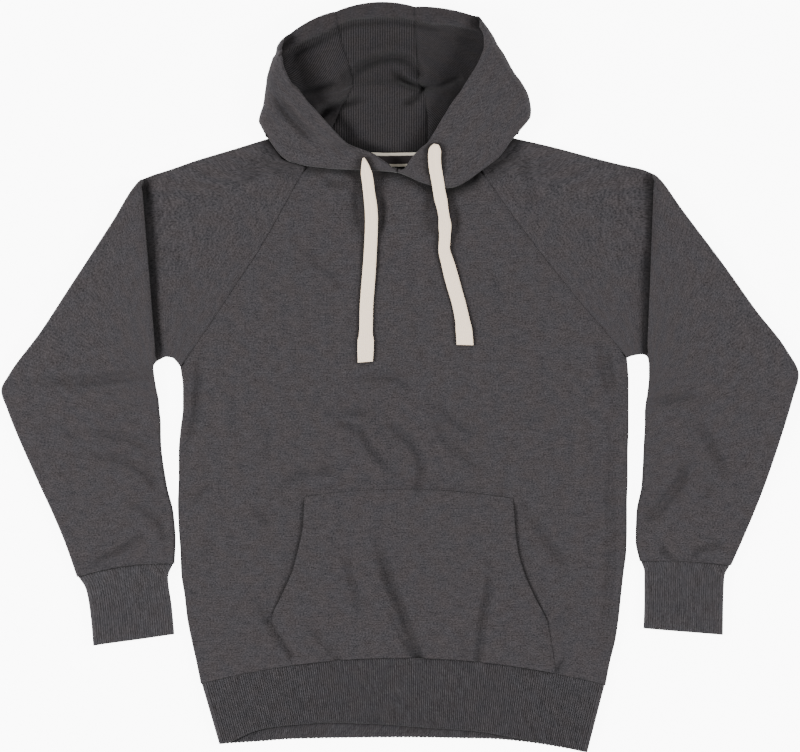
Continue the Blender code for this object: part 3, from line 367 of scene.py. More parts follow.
@dataclass(frozen=True)
class Crease:
    """Soft trough or ridge along a line.

    Its start and end are the shares of its rise that are left at its two ends.
    """

    points: Points
    width: float
    rise: float
    lip: float = 0.0
    start: float = 0.0
    end: float = 0.0

    def height(self, x: Array, y: Array) -> Array:
        """Height that the crease adds.

        Args:
            x: x of the points.
            y: y of the points.

        Returns:
            The rise in its middle, less towards its ends. A lip is a ridge beside a trough, to the
            left of the line's way, or to the right where it is negative.
        """
        line = Line(self.points)
        reach = 3.5 * self.width
        low, high = line.points[:, :2].min(0) - reach, line.points[:, :2].max(0) + reach
        near = (x > low[0]) & (x < high[0]) & (y > low[1]) & (y < high[1])
        out = np.zeros(np.shape(x))
        if not near.any():
            return out
        gap, share = line.away(x[near], y[near])
        gap = gap / self.width
        shape = mound(gap, 1.0)
        if self.lip:
            shape = shape - abs(self.lip) * mound(gap * np.sign(self.lip) - LIP_OFF, LIP_WIDTH)
        ends = (self.start + (1 - self.start) * ease(share / FADE)) * (
            self.end + (1 - self.end) * ease((1 - share) / FADE)
        )
        out[near] = self.rise * shape * ends
        return out


def creases(*rows: tuple) -> tuple[Crease, ...]:
    """Creases from rows of width, rise, lip, start, end and then the points of the line."""
    return tuple(Crease(row[5:], *row[:5]) for row in rows)


def swell(x: Array, y: Array, size: float, seed: int) -> Array:
    """Smooth random swell, about -1 to 1.

    Args:
        x: x of the points.
        y: y of the points.
        size: distance over which it changes.
        seed: which pattern.

    Returns:
        One number for each point.
    """
    turn = np.random.default_rng(seed).uniform(0, 2 * np.pi, (64, 64))
    u, v = x / size, y / size
    i, j = np.floor(u).astype(int), np.floor(v).astype(int)
    fu, fv = u - i, v - j
    su, sv = (f * f * f * (f * (f * 6 - 15) + 10) for f in (fu, fv))
    corner = []
    for a, b in ((0, 0), (1, 0), (0, 1), (1, 1)):
        slope = turn[(i + a) % 64, (j + b) % 64]
        corner.append(np.cos(slope) * (fu - a) + np.sin(slope) * (fv - b))
    low = corner[0] + (corner[1] - corner[0]) * su
    high = corner[2] + (corner[3] - corner[2]) * su
    return 1.5 * (low + (high - low) * sv)


class Pattern(Enum):
    """Seed of each piece's random unevenness."""

    FRONT = 3
    POCKET = 21
    SLEEVE_LEFT = 40
    SLEEVE_RIGHT = 60
    RIB = 80
    HOOD_INSIDE = 110
    FLAP = 130


def rumple(x: Array, y: Array, pattern: Pattern, strength: float = 1.0) -> Array:
    """Gentle unevenness of heavy fleece that lies on a table.

    Args:
        x: x of the points.
        y: y of the points.
        pattern: which piece's.
        strength: factor of its height.

    Returns:
        Height at each point.
    """
    seed = pattern.value
    wander_x = x + 12 * swell(x, y, 80, seed + 11)
    wander_y = y + 12 * swell(x, y, 80, seed + 12)
    layers = ((0.8, 64), (0.42, 31), (0.17, 14))
    height = sum(rise * swell(wander_x, wander_y, size, seed + i) for i, (rise, size) in enumerate(layers))
    return strength * (height + 0.06 * swell(x, y, 6.5, seed + len(layers)))


def folded(x: Array, y: Array, lines: tuple[Crease, ...]) -> Array:
    """Sum of the creases' heights."""
    return sum((crease.height(x, y) for crease in lines), np.zeros(np.shape(x)))


# Meshes


def around(grid: Array) -> Array:
    """Border of a grid, once round."""
    return np.concatenate([grid[0, :-1], grid[:-1, -1], grid[-1, :0:-1], grid[:0:-1, 0]])


def corners(grid: Array) -> tuple[Array, Array, Array, Array]:
    """First, second, third and fourth corner of every face of a grid."""
    return grid[:-1, :-1], grid[:-1, 1:], grid[1:, 1:], grid[1:, :-1]


def walked_round(loops: Array) -> Array:
    """Length walked round each loop.

    Args:
        loops: points of the loops.

    Returns:
        The length at each point, with the whole length back at the first one in one more column.
    """
    closed = np.concatenate([loops, loops[:, :1]], axis=1)
    walked = np.cumsum(np.linalg.norm(np.diff(closed, axis=1), axis=2), axis=1)
    return np.concatenate([np.zeros((len(loops), 1)), walked], axis=1)


def cloth_map(across: Array, along: Array) -> Array:
    """UV in metres, from millimetres across and along the cloth."""
    return np.stack(np.broadcast_arrays(across, along), axis=-1) * MM


def add_object(name: str, data: bpy.types.ID) -> bpy.types.Object:
    """Object of some data, added to the scene.

    Args:
        name: the object's name.
        data: its mesh, camera or lamp.

    Returns:
        The object.
    """
    made = bpy.data.objects.new(name, data)
    bpy.context.collection.objects.link(made)
    return made


def outward(grid: Array, bulge: tuple[float, float, float, float]) -> Array:
    """Steps out of a grid at its border.

    Args:
        grid: the points.
        bulge: length of the step at the first row, last column, last row and first column.

    Returns:
        A step for each point, 0 away from the border.
    """
    out = np.zeros(grid.shape)
    out[0] += unit(grid[0] - grid[1]) * bulge[0]
    out[:, -1] += unit(grid[:, -1] - grid[:, -2]) * bulge[1]
    out[-1] += unit(grid[-1] - grid[-2]) * bulge[2]
    out[:, 0] += unit(grid[:, 0] - grid[:, 1]) * bulge[3]
    length = np.linalg.norm(out, axis=-1, keepdims=True)
    return out / np.maximum(length, 1.0)


class Shell:
    """Closed cloth wall under construction."""

    def __init__(self) -> None:
        """Start with no points."""
        self.points: list[Array] = []
        self.marks: list[Array] = []
        self.faces: list[Array] = []
        self.maps: list[Array] = []
        self.slots: list[Array] = []
        self.count = 0

    def add(self, points: Array, mark: Array | None = None) -> Array:
        """Add points.

        Args:
            points: array whose last axis is x y z.
            mark: number kept at each point for the ribs.

        Returns:
            Their numbers, in the same arrangement.
        """
        flat = points.reshape(-1, 3)
        self.points.append(flat)
        self.marks.append(np.zeros(len(flat)) if mark is None else np.ravel(mark))
        self.count += len(flat)
        return np.arange(self.count - len(flat), self.count).reshape(points.shape[:-1])

    def skin(self, numbers: Array, maps: Array, slot: int | Array = 0, closed: bool = False) -> None:
        """Quads over a grid of point numbers.

        Args:
            numbers: point numbers in rows.
            maps: UV of each, with one more column where the rows close.
            slot: material slot, or one for each face.
            closed: whether each row closes on itself.
        """
        if closed:
            numbers = np.concatenate([numbers, numbers[:, :1]], axis=1)
        for store, grid in ((self.faces, numbers), (self.maps, maps)):
            store.append(np.stack(corners(grid), axis=2).reshape(-1, 4, *grid.shape[2:]))
        self.slots.append(np.full(len(self.faces[-1]), slot))

    def build(self, name: str, materials: tuple[bpy.types.Material, ...]) -> bpy.types.Object:
        """Make the object, with its faces outwards.

        Args:
            name: the piece's name.
            materials: one for each slot.

        Returns:
            The object, at the origin.
        """
        faces = np.concatenate(self.faces)
        mesh = bpy.data.meshes.new(name)
        mesh.from_pydata((np.concatenate(self.points) * MM).tolist(), [], faces.tolist())
        mesh.uv_layers.new(name="cloth").data.foreach_set("uv", np.concatenate(self.maps).ravel())
        mesh.attributes.new("rib", "FLOAT", "POINT").data.foreach_set("value", np.concatenate(self.marks))
        mesh.polygons.foreach_set("material_index", np.concatenate(self.slots).astype(np.int32))
        for material in materials:
            mesh.materials.append(material)
        bm = bmesh.new()
        bm.from_mesh(mesh)
        bmesh.ops.recalc_face_normals(bm, faces=bm.faces)
        bm.to_mesh(mesh)
        bm.free()
        mesh.shade_smooth()
        return add_object(name, mesh)


def panel(
    name: str,
    outer: Array,
    inner: Array,
    maps: Array,
    materials: tuple[bpy.types.Material, ...],
    bulge: tuple[float, float, float, float] = (0.0, 0.0, 0.0, 0.0),
    steps: int = 4,
    lining: int | Array = 1,
) -> bpy.types.Object:
    """Open panel of cloth as a closed wall.

    Args:
        name: the piece's name.
        outer: grid of the outer side.
        inner: grid of the inner side.
        maps: UV of the grid, in metres.
        materials: of the outer and the inner side.
        bulge: how round each border is: first row, last column, last row, first column.
        steps: faces across the border.
        lining: material slot of the inner side, or one for each face.

    Returns:
        The object.
    """
    shell = Shell()
    outside, inside = shell.add(outer), shell.add(inner)
    shell.skin(outside, maps, 0)
    shell.skin(inside, maps, lining)
    first, last, out = around(outer), around(inner), around(outward(outer, bulge))
    middle, half = (first + last) / 2, np.linalg.norm(first - last, axis=-1, keepdims=True) / 2
    rows, row_maps = [around(outside)], [around(maps)]
    map_out = around(outward(maps, bulge))
    for k in range(1, steps):
        turn = math.pi * k / steps
        rows.append(shell.add(middle + (first - middle) * math.cos(turn) + out * half * math.sin(turn)))
        row_maps.append(row_maps[0] + map_out * half * MM * turn)
    rows.append(around(inside))
    row_maps.append(row_maps[0] + map_out * half * MM * math.pi)
    row_maps = np.stack(row_maps)
    shell.skin(np.stack(rows), np.concatenate([row_maps, row_maps[:, :1]], axis=1), 0, closed=True)
    return shell.build(name, materials)


def tube(
    name: str,
    outer: Array,
    inner: Array,
    maps: Array,
    materials: tuple[bpy.types.Material, ...],
    bulge: tuple[float, float] = (0.0, 0.0),
    marks: Array | None = None,
    inner_marks: Array | None = None,
    steps: int = 4,
) -> bpy.types.Object:
    """Tube of cloth as a closed wall.

    Args:
        name: the piece's name.
        outer: loops of the outer side.
        inner: loops of the inner side.
        maps: UV of the loops, with one more column.
        materials: of the outer and the inner side.
        bulge: how round the first and the last end are.
        marks: number kept at each outer point for the ribs.
        inner_marks: the same for the inner points.
        steps: faces across an end.

    Returns:
        The object.
    """
    shell = Shell()
    outside, inside = shell.add(outer, marks), shell.add(inner, inner_marks)
    shell.skin(outside, maps, 0, closed=True)
    shell.skin(inside, maps, 1, closed=True)
    for end, beside, round_out in ((0, 1, bulge[0]), (-1, -2, bulge[1])):
        first, last = outer[end], inner[end]
        middle, half = (first + last) / 2, np.linalg.norm(first - last, axis=-1, keepdims=True) / 2
        out = unit(outer[end] - outer[beside]) * round_out
        rows = [outside[end]]
        for k in range(1, steps):
            turn = math.pi * k / steps
            ring = middle + (first - middle) * math.cos(turn) + out * half * math.sin(turn)
            near = min(k, steps - k) / steps
            mark = None if marks is None else (marks if k < steps / 2 else inner_marks)[end] * (1 - near)
            rows.append(shell.add(ring, mark))
        rows.append(inside[end])
        grow = np.array([0.0, 1.0]) * MM * (1 if end else -1)
        row_maps = np.stack([maps[end] + grow * k * 1.2 for k in range(steps + 1)])
        shell.skin(np.stack(rows), row_maps, 0, closed=True)
    return shell.build(name, materials)


def normals(grid: Array, sign: float = 1.0) -> Array:
    """Unit normals of a grid of points, from its neighbours."""
    return unit(sign * np.cross(np.gradient(grid, axis=1), np.gradient(grid, axis=0)))


def surface_area(piece: bpy.types.Object) -> float:
    """Area of a piece's faces in square metres."""
    return sum(face.area for face in piece.data.polygons)


@dataclass(frozen=True)
class Cut:
    """Flat size that a sheet is cut to, in metres, and its area in square metres."""

    width: float
    length: float
    area: float


def finish_sheet(
    piece: bpy.types.Object, node_name: str, cut: Cut
) -> None:
    """Say what a cloth piece stands for, what it is and what carries it.

    Args:
        piece: the object.
        node_name: the node that it replaces.
        cut: its flat size.
    """
    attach(piece, "root")
    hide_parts(node_name)
    triangles = sum(len(face.vertices) - 2 for face in piece.data.polygons)
    share = surface_area(piece) / 2 / cut.area
    log.info("%s: %d triangles, %.2f of its cut", piece.name, triangles, share)


# Finishes


def linear(code: str) -> tuple[float, float, float, float]:
    """Linear colour of an sRGB hex value."""
    parts = [int(code[i:i + 2], 16) / 255 for i in (1, 3, 5)]
    return (*[v / 12.92 if v <= 0.04045 else ((v + 0.055) / 1.055) ** 2.4 for v in parts], 1.0)


def node(
    tree: bpy.types.NodeTree, kind: str, inputs: dict | None = None, **settings: object
) -> bpy.types.Node:
    """Add a node.

    Args:
        tree: the node tree.
        kind: the node's type.
        inputs: value, output socket or node for each input, by name or number. A node stands for its
            first output.
        settings: the node's own settings.

    Returns:
        The node.
    """
    made = tree.nodes.new(kind)
    for key, value in settings.items():
        setattr(made, key, value)
    for key, value in (inputs or {}).items():
        value = value.outputs[0] if isinstance(value, bpy.types.Node) else value
        if isinstance(value, bpy.types.NodeSocket):
            tree.links.new(value, made.inputs[key])
        else:
            made.inputs[key].default_value = value
    return made


def new_material(
    name: str, **levels: object
) -> tuple[bpy.types.Material, bpy.types.NodeTree, bpy.types.Node]:
    """Material, its tree and its shader.

    Args:
        name: what the finish is.
        levels: level of each of the shader's inputs, with _ for each space in its name.

    Returns:
        The three.
    """
    made = bpy.data.materials.new(name)
    made.use_nodes = True
    shader = made.node_tree.nodes["Principled BSDF"]
    for key, level in levels.items():
        shader.inputs[key.replace("_", " ")].default_value = level
    return made, made.node_tree, shader


def cloth_material(name: str, roughness: float, sheen: float) -> tuple:
    """Material of a cloth with a soft fuzz and its map of the cloth.

    Args:
        name: what the cloth is.
        roughness: of the fibres.
        sheen: weight of the fuzz at grazing angles.

    Returns:
        The material, its tree, its shader and the UV output.
    """
    made, tree, shader = new_material(
        name, Roughness=roughness, Specular_IOR_Level=0.25, Sheen_Weight=sheen, Sheen_Roughness=0.5
    )
    return made, tree, shader, node(tree, "ShaderNodeUVMap", uv_map="cloth").outputs["UV"]


def wave_scale(pitch: float) -> float:
    """Scale of a wave texture for bands this many millimetres apart."""
    return 2 * math.pi / (20 * pitch * MM)


def grain(
    tree: bpy.types.NodeTree, cloth: bpy.types.NodeSocket, wide: float, high: float, detail: float
) -> bpy.types.NodeSocket:
    """Noise whose flecks are wide by high, in millimetres.

    Args:
        tree: the node tree.
        cloth: the UV output.
        wide: size along the courses.
        high: size along the wales.
        detail: finer layers of it.

    Returns:
        The output, about 0.3 to 0.7.
    """
    scale = (1 / (wide * MM), 1 / (high * MM), 1.0)
    scaled = node(tree, "ShaderNodeMapping", {"Vector": cloth, "Scale": scale})
    inputs = {"Vector": scaled, "Scale": 1.0, "Detail": detail, "Roughness": 0.62}
    return node(tree, "ShaderNodeTexNoise", inputs).outputs["Fac"]


def ribbed(
    tree: bpy.types.NodeTree, cloth: bpy.types.NodeSocket, ground: object, pitch: float, depth: float,
    stray: float, fine: float,
) -> bpy.types.Node:
    """Ribs that run along the wales, added to a ground.

    Args:
        tree: the node tree.
        cloth: the UV output.
        ground: node or output that the ribs are added to.
        pitch: from one rib to the next, in millimetres.
        depth: what a rib adds.
        stray: how much the ribs wander.
        fine: scale of the wandering.

    Returns:
        The node of the sum.
    """
    inputs = {
        "Vector": cloth, "Scale": wave_scale(pitch), "Distortion": stray, "Detail": 1.0, "Detail Scale": fine,
    }
    wave = node(tree, "ShaderNodeTexWave", inputs, wave_type="BANDS", bands_direction="X").outputs["Fac"]
    return node(tree, "ShaderNodeMath", {0: wave, 1: depth, 2: ground}, operation="MULTIPLY_ADD")


@dataclass(frozen=True)
class HeatherKnit:
    """Cotton fleece knitted from melange yarn.

    It gives the eye a charcoal ground with lighter and darker flecks that run along the courses,
    slightly warmer and cooler places, and a dry, faintly fuzzy surface. The flecks are drawn about
    twice as coarse as the yarn, which is 0.9 mm across, because finer ones would not show.
    """

    name: str
    dark: str = "#131214"
    light: str = "#4f4b4d"
    warm: str = "#372f2f"
    cool: str = "#2f2f35"
    fleck_wide: float = 2.0
    fleck_high: float = 1.6
    streak_wide: float = 16.0
    streak_high: float = 1.7
    wale: float = 0.0
    wale_depth: float = 0.0
    fleck_share: float = 0.68
    patch_wide: float = 11.0
    patch_high: float = 8.0
    patch_share: float = 0.14
    hue_wide: float = 21.0
    hue_high: float = 19.0
    hue_share: float = 0.25
    bump: float = 0.35
    sheen: float = 0.12
    # Painted shade: reach in millimetres of the ambient occlusion that darkens the colour in creases, hollows
    # and under other pieces, and the power that it is raised to
    painted_shade_reach: float = 16.0
    painted_shade_power: float = 1.8

    def material(self) -> bpy.types.Material:
        """Build the material.

        Returns:
            The material.
        """
        made, tree, shader, cloth = cloth_material(self.name, 0.93, self.sheen)
        layers = (
            (self.fleck_wide, self.fleck_high, 3.0, self.fleck_share),
            (self.streak_wide, self.streak_high, 2.0, 1 - self.patch_share - self.fleck_share),
            (self.patch_wide, self.patch_high, 2.0, self.patch_share),
        )
        value = 0.0
        for wide, high, detail, share in layers:
            layer = grain(tree, cloth, wide, high, detail)
            value = node(tree, "ShaderNodeMath", {0: layer, 1: share, 2: value}, operation="MULTIPLY_ADD")
        height = value
        if self.wale:
            height = ribbed(tree, cloth, value, self.wale, self.wale_depth, 0.9, 1.6)
            value = node(tree, "ShaderNodeMath", {0: height, 1: self.wale_depth / 2}, operation="SUBTRACT")
        mixed = []
        hue = grain(tree, cloth, self.hue_wide, self.hue_high, 1.5)
        for share, low, high in ((value, self.dark, self.light), (hue, self.warm, self.cool)):
            spread = node(tree, "ShaderNodeMapRange", {"Value": share, "From Min": 0.36, "From Max": 0.64})
            inputs = {0: spread, 6: linear(low), 7: linear(high)}
            mixed.append(node(tree, "ShaderNodeMix", inputs, data_type="RGBA").outputs[2])
        inputs = {0: self.hue_share, 6: mixed[0], 7: mixed[1]}
        colour = node(tree, "ShaderNodeMix", inputs, data_type="RGBA").outputs[2]
        # Painted shade: the colour is scaled by the ambient occlusion, so creases, hollows and places under
        # other pieces come out darker
        occlusion = node(tree, "ShaderNodeAmbientOcclusion", {"Distance": self.painted_shade_reach * MM}, samples=8)
        inputs = {0: occlusion.outputs["AO"], 1: self.painted_shade_power}
        shade = node(tree, "ShaderNodeMath", inputs, operation="POWER")
        colour = node(tree, "ShaderNodeVectorMath", {0: colour, "Scale": shade}, operation="SCALE")
        bump = node(tree, "ShaderNodeBump", {"Height": height, "Strength": self.bump, "Distance": 0.9 * MM})
        tree.links.new(colour.outputs[0], shader.inputs["Base Color"])
        tree.links.new(bump.outputs[0], shader.inputs["Normal"])
        return made


@dataclass(frozen=True)
class CottonCord:
    """Flat cord knitted from undyed cotton.

    It gives the eye a warm cream with fine lengthwise ribs and small shadows between the loops.
    """

    name: str = "cotton_cord_natural"
    light: str = "#ffe9d2"
    dark: str = "#f2dcbc"
    # Painted light: strength of the cord's own glow, which makes it look brighter than the lamps alone light
    # it
    glow: float = 0.60
    rib: float = 2.3

    def material(self) -> bpy.types.Material:
        """Build the material.

        Returns:
            The material.
        """
        made, tree, shader, cloth = cloth_material(self.name, 0.9, 0.1)
        value = ribbed(tree, cloth, grain(tree, cloth, 1.6, 2.2, 3.0), self.rib, 0.25, 1.2, 2.0)
        spread = node(tree, "ShaderNodeMapRange", {"Value": value, "From Min": 0.35, "From Max": 0.8})
        inputs = {0: spread, 6: linear(self.dark), 7: linear(self.light)}
        colour = node(tree, "ShaderNodeMix", inputs, data_type="RGBA")
        bump = node(tree, "ShaderNodeBump", {"Height": value, "Strength": 0.5, "Distance": 0.7 * MM})
        tree.links.new(colour.outputs[2], shader.inputs["Base Color"])
        tree.links.new(bump.outputs[0], shader.inputs["Normal"])
        # Painted light: the cord glows in its light cream colour, though it is no lamp
        shader.inputs["Emission Color"].default_value = linear(self.light)
        shader.inputs["Emission Strength"].default_value = self.glow
        return made


@dataclass(frozen=True)
class TwillTape:
    """Cotton twill tape, dark with a cream edge on each side.

    It gives the eye two bright lines with a nearly black band between them.
    """

    name: str = "twill_tape"
    edge: str = "#e6dccb"
    band: str = "#2c2728"
    width: float = 16.0
    edge_width: float = 3.0
    twill: float = 1.8

    def material(self) -> bpy.types.Material:
        """Build the material.

        Returns:
            The material.
        """
        made, tree, shader, cloth = cloth_material(self.name, 0.88, 0.05)
        split = node(tree, "ShaderNodeSeparateXYZ", {0: cloth})
        wander = grain(tree, cloth, 7.0, 7.0, 2.0)
        inputs = {0: split.outputs["Y"], 1: 1 / (self.width * MM)}
        place = node(tree, "ShaderNodeMath", inputs, operation="MULTIPLY")
        place = node(tree, "ShaderNodeMath", {0: wander, 1: 0.05, 2: place}, operation="MULTIPLY_ADD")
        ramp = node(tree, "ShaderNodeValToRGB", {0: place})
        stops = ramp.color_ramp.elements
        low, high = self.edge_width / self.width, 1 - self.edge_width / self.width
        stops[0].position, stops[0].color = low, linear(self.edge)
        stops[1].position, stops[1].color = low + 0.03, linear(self.band)
        for at, code in ((high, self.band), (high + 0.03, self.edge)):
            stops.new(at).color = linear(code)
        turned = node(tree, "ShaderNodeMapping", {"Vector": cloth, "Rotation": (0, 0, 0.9)})
        twill = node(tree, "ShaderNodeTexWave", {"Vector": turned, "Scale": wave_scale(self.twill)})
        inputs = {"Height": twill.outputs["Fac"], "Strength": 0.4, "Distance": 0.4 * MM}
        bump = node(tree, "ShaderNodeBump", inputs)
        tree.links.new(ramp.outputs[0], shader.inputs["Base Color"])
        tree.links.new(bump.outputs[0], shader.inputs["Normal"])
        return made


@dataclass(frozen=True)
class Thread:
    """Spun polyester sewing thread, which shows as small glossy dashes."""

    name: str
    colour: str

    def material(self) -> bpy.types.Material:
        """Build the material.

        Returns:
            The material.
        """
        made, tree, shader = new_material(self.name, Roughness=0.6)
        place = node(tree, "ShaderNodeTexCoord").outputs["Object"]
        noise = node(tree, "ShaderNodeTexNoise", {"Vector": place, "Scale": 160.0, "Detail": 2.0})
        shade = tuple(0.7 * v for v in linear(self.colour)[:3])
        inputs = {0: noise, 6: (*shade, 1.0), 7: linear(self.colour)}
        colour = node(tree, "ShaderNodeMix", inputs, data_type="RGBA")
        tree.links.new(colour.outputs[2], shader.inputs["Base Color"])
        return made


@dataclass(frozen=True)
class Fabrics:
    """All the materials of the garment."""

    jersey: bpy.types.Material
    inside: bpy.types.Material
    casing: bpy.types.Material
    rib: bpy.types.Material
    cord: bpy.types.Material
    tape: bpy.types.Material
    thread: bpy.types.Material


def make_fabrics() -> Fabrics:
    """Make each material once.

    Returns:
        All of them.
    """
    finishes = {
        "jersey": HeatherKnit("heather_fleece_jersey", painted_shade_reach=24.0),
        "inside": HeatherKnit(
            "heather_fleece_reverse", dark="#0c0b0c", light="#383436", warm="#2a2524", cool="#232328",
            wale=2.9, wale_depth=0.36, bump=0.7, painted_shade_power=2.3,
        ),
        # Painted shade: the turned casing is the same jersey, with its light colour painted darker for the
        # shade inside the hood
        "casing": HeatherKnit("heather_fleece_casing_painted_shade", dark="#131112", light="#3c383a"),
        "rib": HeatherKnit(
            "heather_rib_knit", dark="#212021", light="#575457", fleck_wide=1.5, fleck_high=2.6,
            streak_wide=1.8, streak_high=14.0, fleck_share=0.5, bump=0.4,
        ),
        "cord": CottonCord(),
        "tape": TwillTape(),
        "thread": Thread("sewing_thread_charcoal", "#454246"),
    }
    return Fabrics(**{key: finish.material() for key, finish in finishes.items()})


# Body


# Creases of the front, in rows of width, rise, lip, start, end and the points of the line
FRONT_CREASES = creases(
    (6.2, -5.8, 0.25, 0.3, 1, (-28, -186), (-19, -220), (-14, -241), (-2, -270), (8, -299), (16, -322),
     (25, -342)),
    (3.2, -2.4, 0, 0.1, 0.7, (-16, -263), (-3, -299), (13, -328)),
    (4.2, -2.9, 0.2, 0.4, 0, (-75, -198), (-64, -220), (-56, -246), (-50, -275), (-46, -304)),
    (3.8, -3.0, 0, 0.2, 1, (-113, -292), (-98, -310), (-83, -328), (-74, -340)),
    (4.2, -2.9, 0, 0.3, 0.8, (-171, -260), (-165, -277), (-158, -293)),
    (2.8, -3.1, 0, 0.7, 0.9, (-158, -293), (-145, -313), (-129, -335)),
    (4.6, -3.6, -0.25, 0.4, 1, (110, -224), (107, -256), (101, -282), (97, -316), (94, -340)),
    (4, -2.0, 0, 0, 1, (76, -301), (79, -337)),
    (4, -3.4, 0.2, 0, 0, (-179, -154), (-165, -168), (-147, -181)),
    (5, -3.8, -0.25, 0.3, 0.3, (-238, 38), (-241, -4), (-244, -40), (-251, -76), (-255, -97)),
    (4, -2.7, 0, 0, 0, (-247, -156), (-233, -136), (-213, -122)),
    (4, -2.2, 0, 0, 0, (-235, -222), (-230, -204), (-213, -194)),
    (3.8, -3.6, 0.35, 0.4, 0.35, (-86, -40), (-65, -56), (-45, -66), (-37, -82), (-17, -106), (7, -125)),
    (5.0, -3.9, -0.2, 0.4, 0.8, (-26, -32), (-5, -64), (14, -77), (23, -94), (27, -112), (22, -133)),
    (4.6, -3.2, 0.2, 0.4, 0.3, (-57, -11), (-41, -1), (-11, 1), (7, -6), (20, -26)),
    (4.6, -3.4, 0, 0.4, 0.3, (34, -20), (55, -42), (75, -58), (109, -73)),
    (4.6, -3.3, 0, 0.3, 0.3, (35, -30), (49, -64), (67, -88), (97, -107), (111, -126)),
    (7, -4.6, 0.3, 0.5, 0.3, (244, 42), (248, 20), (251, -4), (259, -30)),
    (5.5, -3.5, 0, 0.4, 0.6, (260, -28), (256, -76), (253, -148), (254, -220), (250, -268), (243, -328)),
    (4, -3.4, 0.2, 0.5, 0, (148, -154), (158, -167), (173, -191), (193, -217), (213, -245)),
    (3, -3.5, 0, 1, 0, (189, -352), (199, -334)),
    (5.4, -2.9, 0, 0.3, 0, (-119, 161), (-98, 139), (-81, 124), (-59, 95)),
    (4, -2.7, 0.25, 0.5, 0, (-98, -20), (-78, -40), (-33, -44), (-16, -68), (-4, -88), (13, -102)),
    (4.4, -2.9, 0.2, 0.4, 0.3, (-150, -146), (-134, -126), (-115, -116), (-83, -110), (-62, -104)),
    (3.6, -2.0, 0, 0, 0, (-93, -109), (-83, -115), (-71, -112)),
    (5, -2.0, 0, 0, 0, (-165, -34), (-155, -64), (-158, -112)),
    (3.6, -1.7, 0, 0, 0, (160, -268), (170, -282), (183, -289)),
    (5, -1.9, 0, 0, 0, (211, -268), (193, -294), (176, -316)),
    (6, -1.4, 0, 0, 0, (226, -40), (236, -76), (231, -124)),
    (7, -1.4, 0, 0, 0, (193, -4), (169, -40), (135, -64)),
    (6, -1.4, 0, 0, 0, (-191, -4), (-196, -52), (-184, -90)),
    (7, -1.2, 0, 0, 0, (25, 152), (15, 104), (22, 56)),
    (6, -1.7, 0, 0, 0, (97, 152), (121, 110), (130, 68)),
    (7, -3.4, 0, 0, 0, (100, 244), (82, 234), (64, 221)),
    (8, -3.2, 0, 0, 0, (-50, 232), (-52, 205), (-46, 168)),
    (7, -3.2, 0, 0, 0, (-27, 226), (-22, 198), (-25, 164)),
    (8, -3.0, 0, 0, 0, (38, 222), (35, 194), (40, 166)),
    (7, -2.6, 0, 0, 0, (63, 214), (68, 188), (66, 160)),
    (6, -3.4, 0, 0, 0, (-96, 240), (-77, 234), (-54, 235)),
)
RAGLAN_DIP = -0.9
OPENING_HOLLOWS = creases(
    (2.0, -0.6, 0, 0.9, 0.2, (-119, -150), (-119, -172), (-122, -198), (-130, -226), (-140, -250),
     (-155, -283)),
    (2.0, -0.4, 0, 1, 0.4, (140, -143), (142, -180), (147, -214), (154, -244), (164, -270), (178, -295)),
    (3.0, -1.3, 0, 0.6, 0.6, (-115, -139), (-80, -133), (-44, -130), (25, -129), (63, -133), (135, -135)),
)


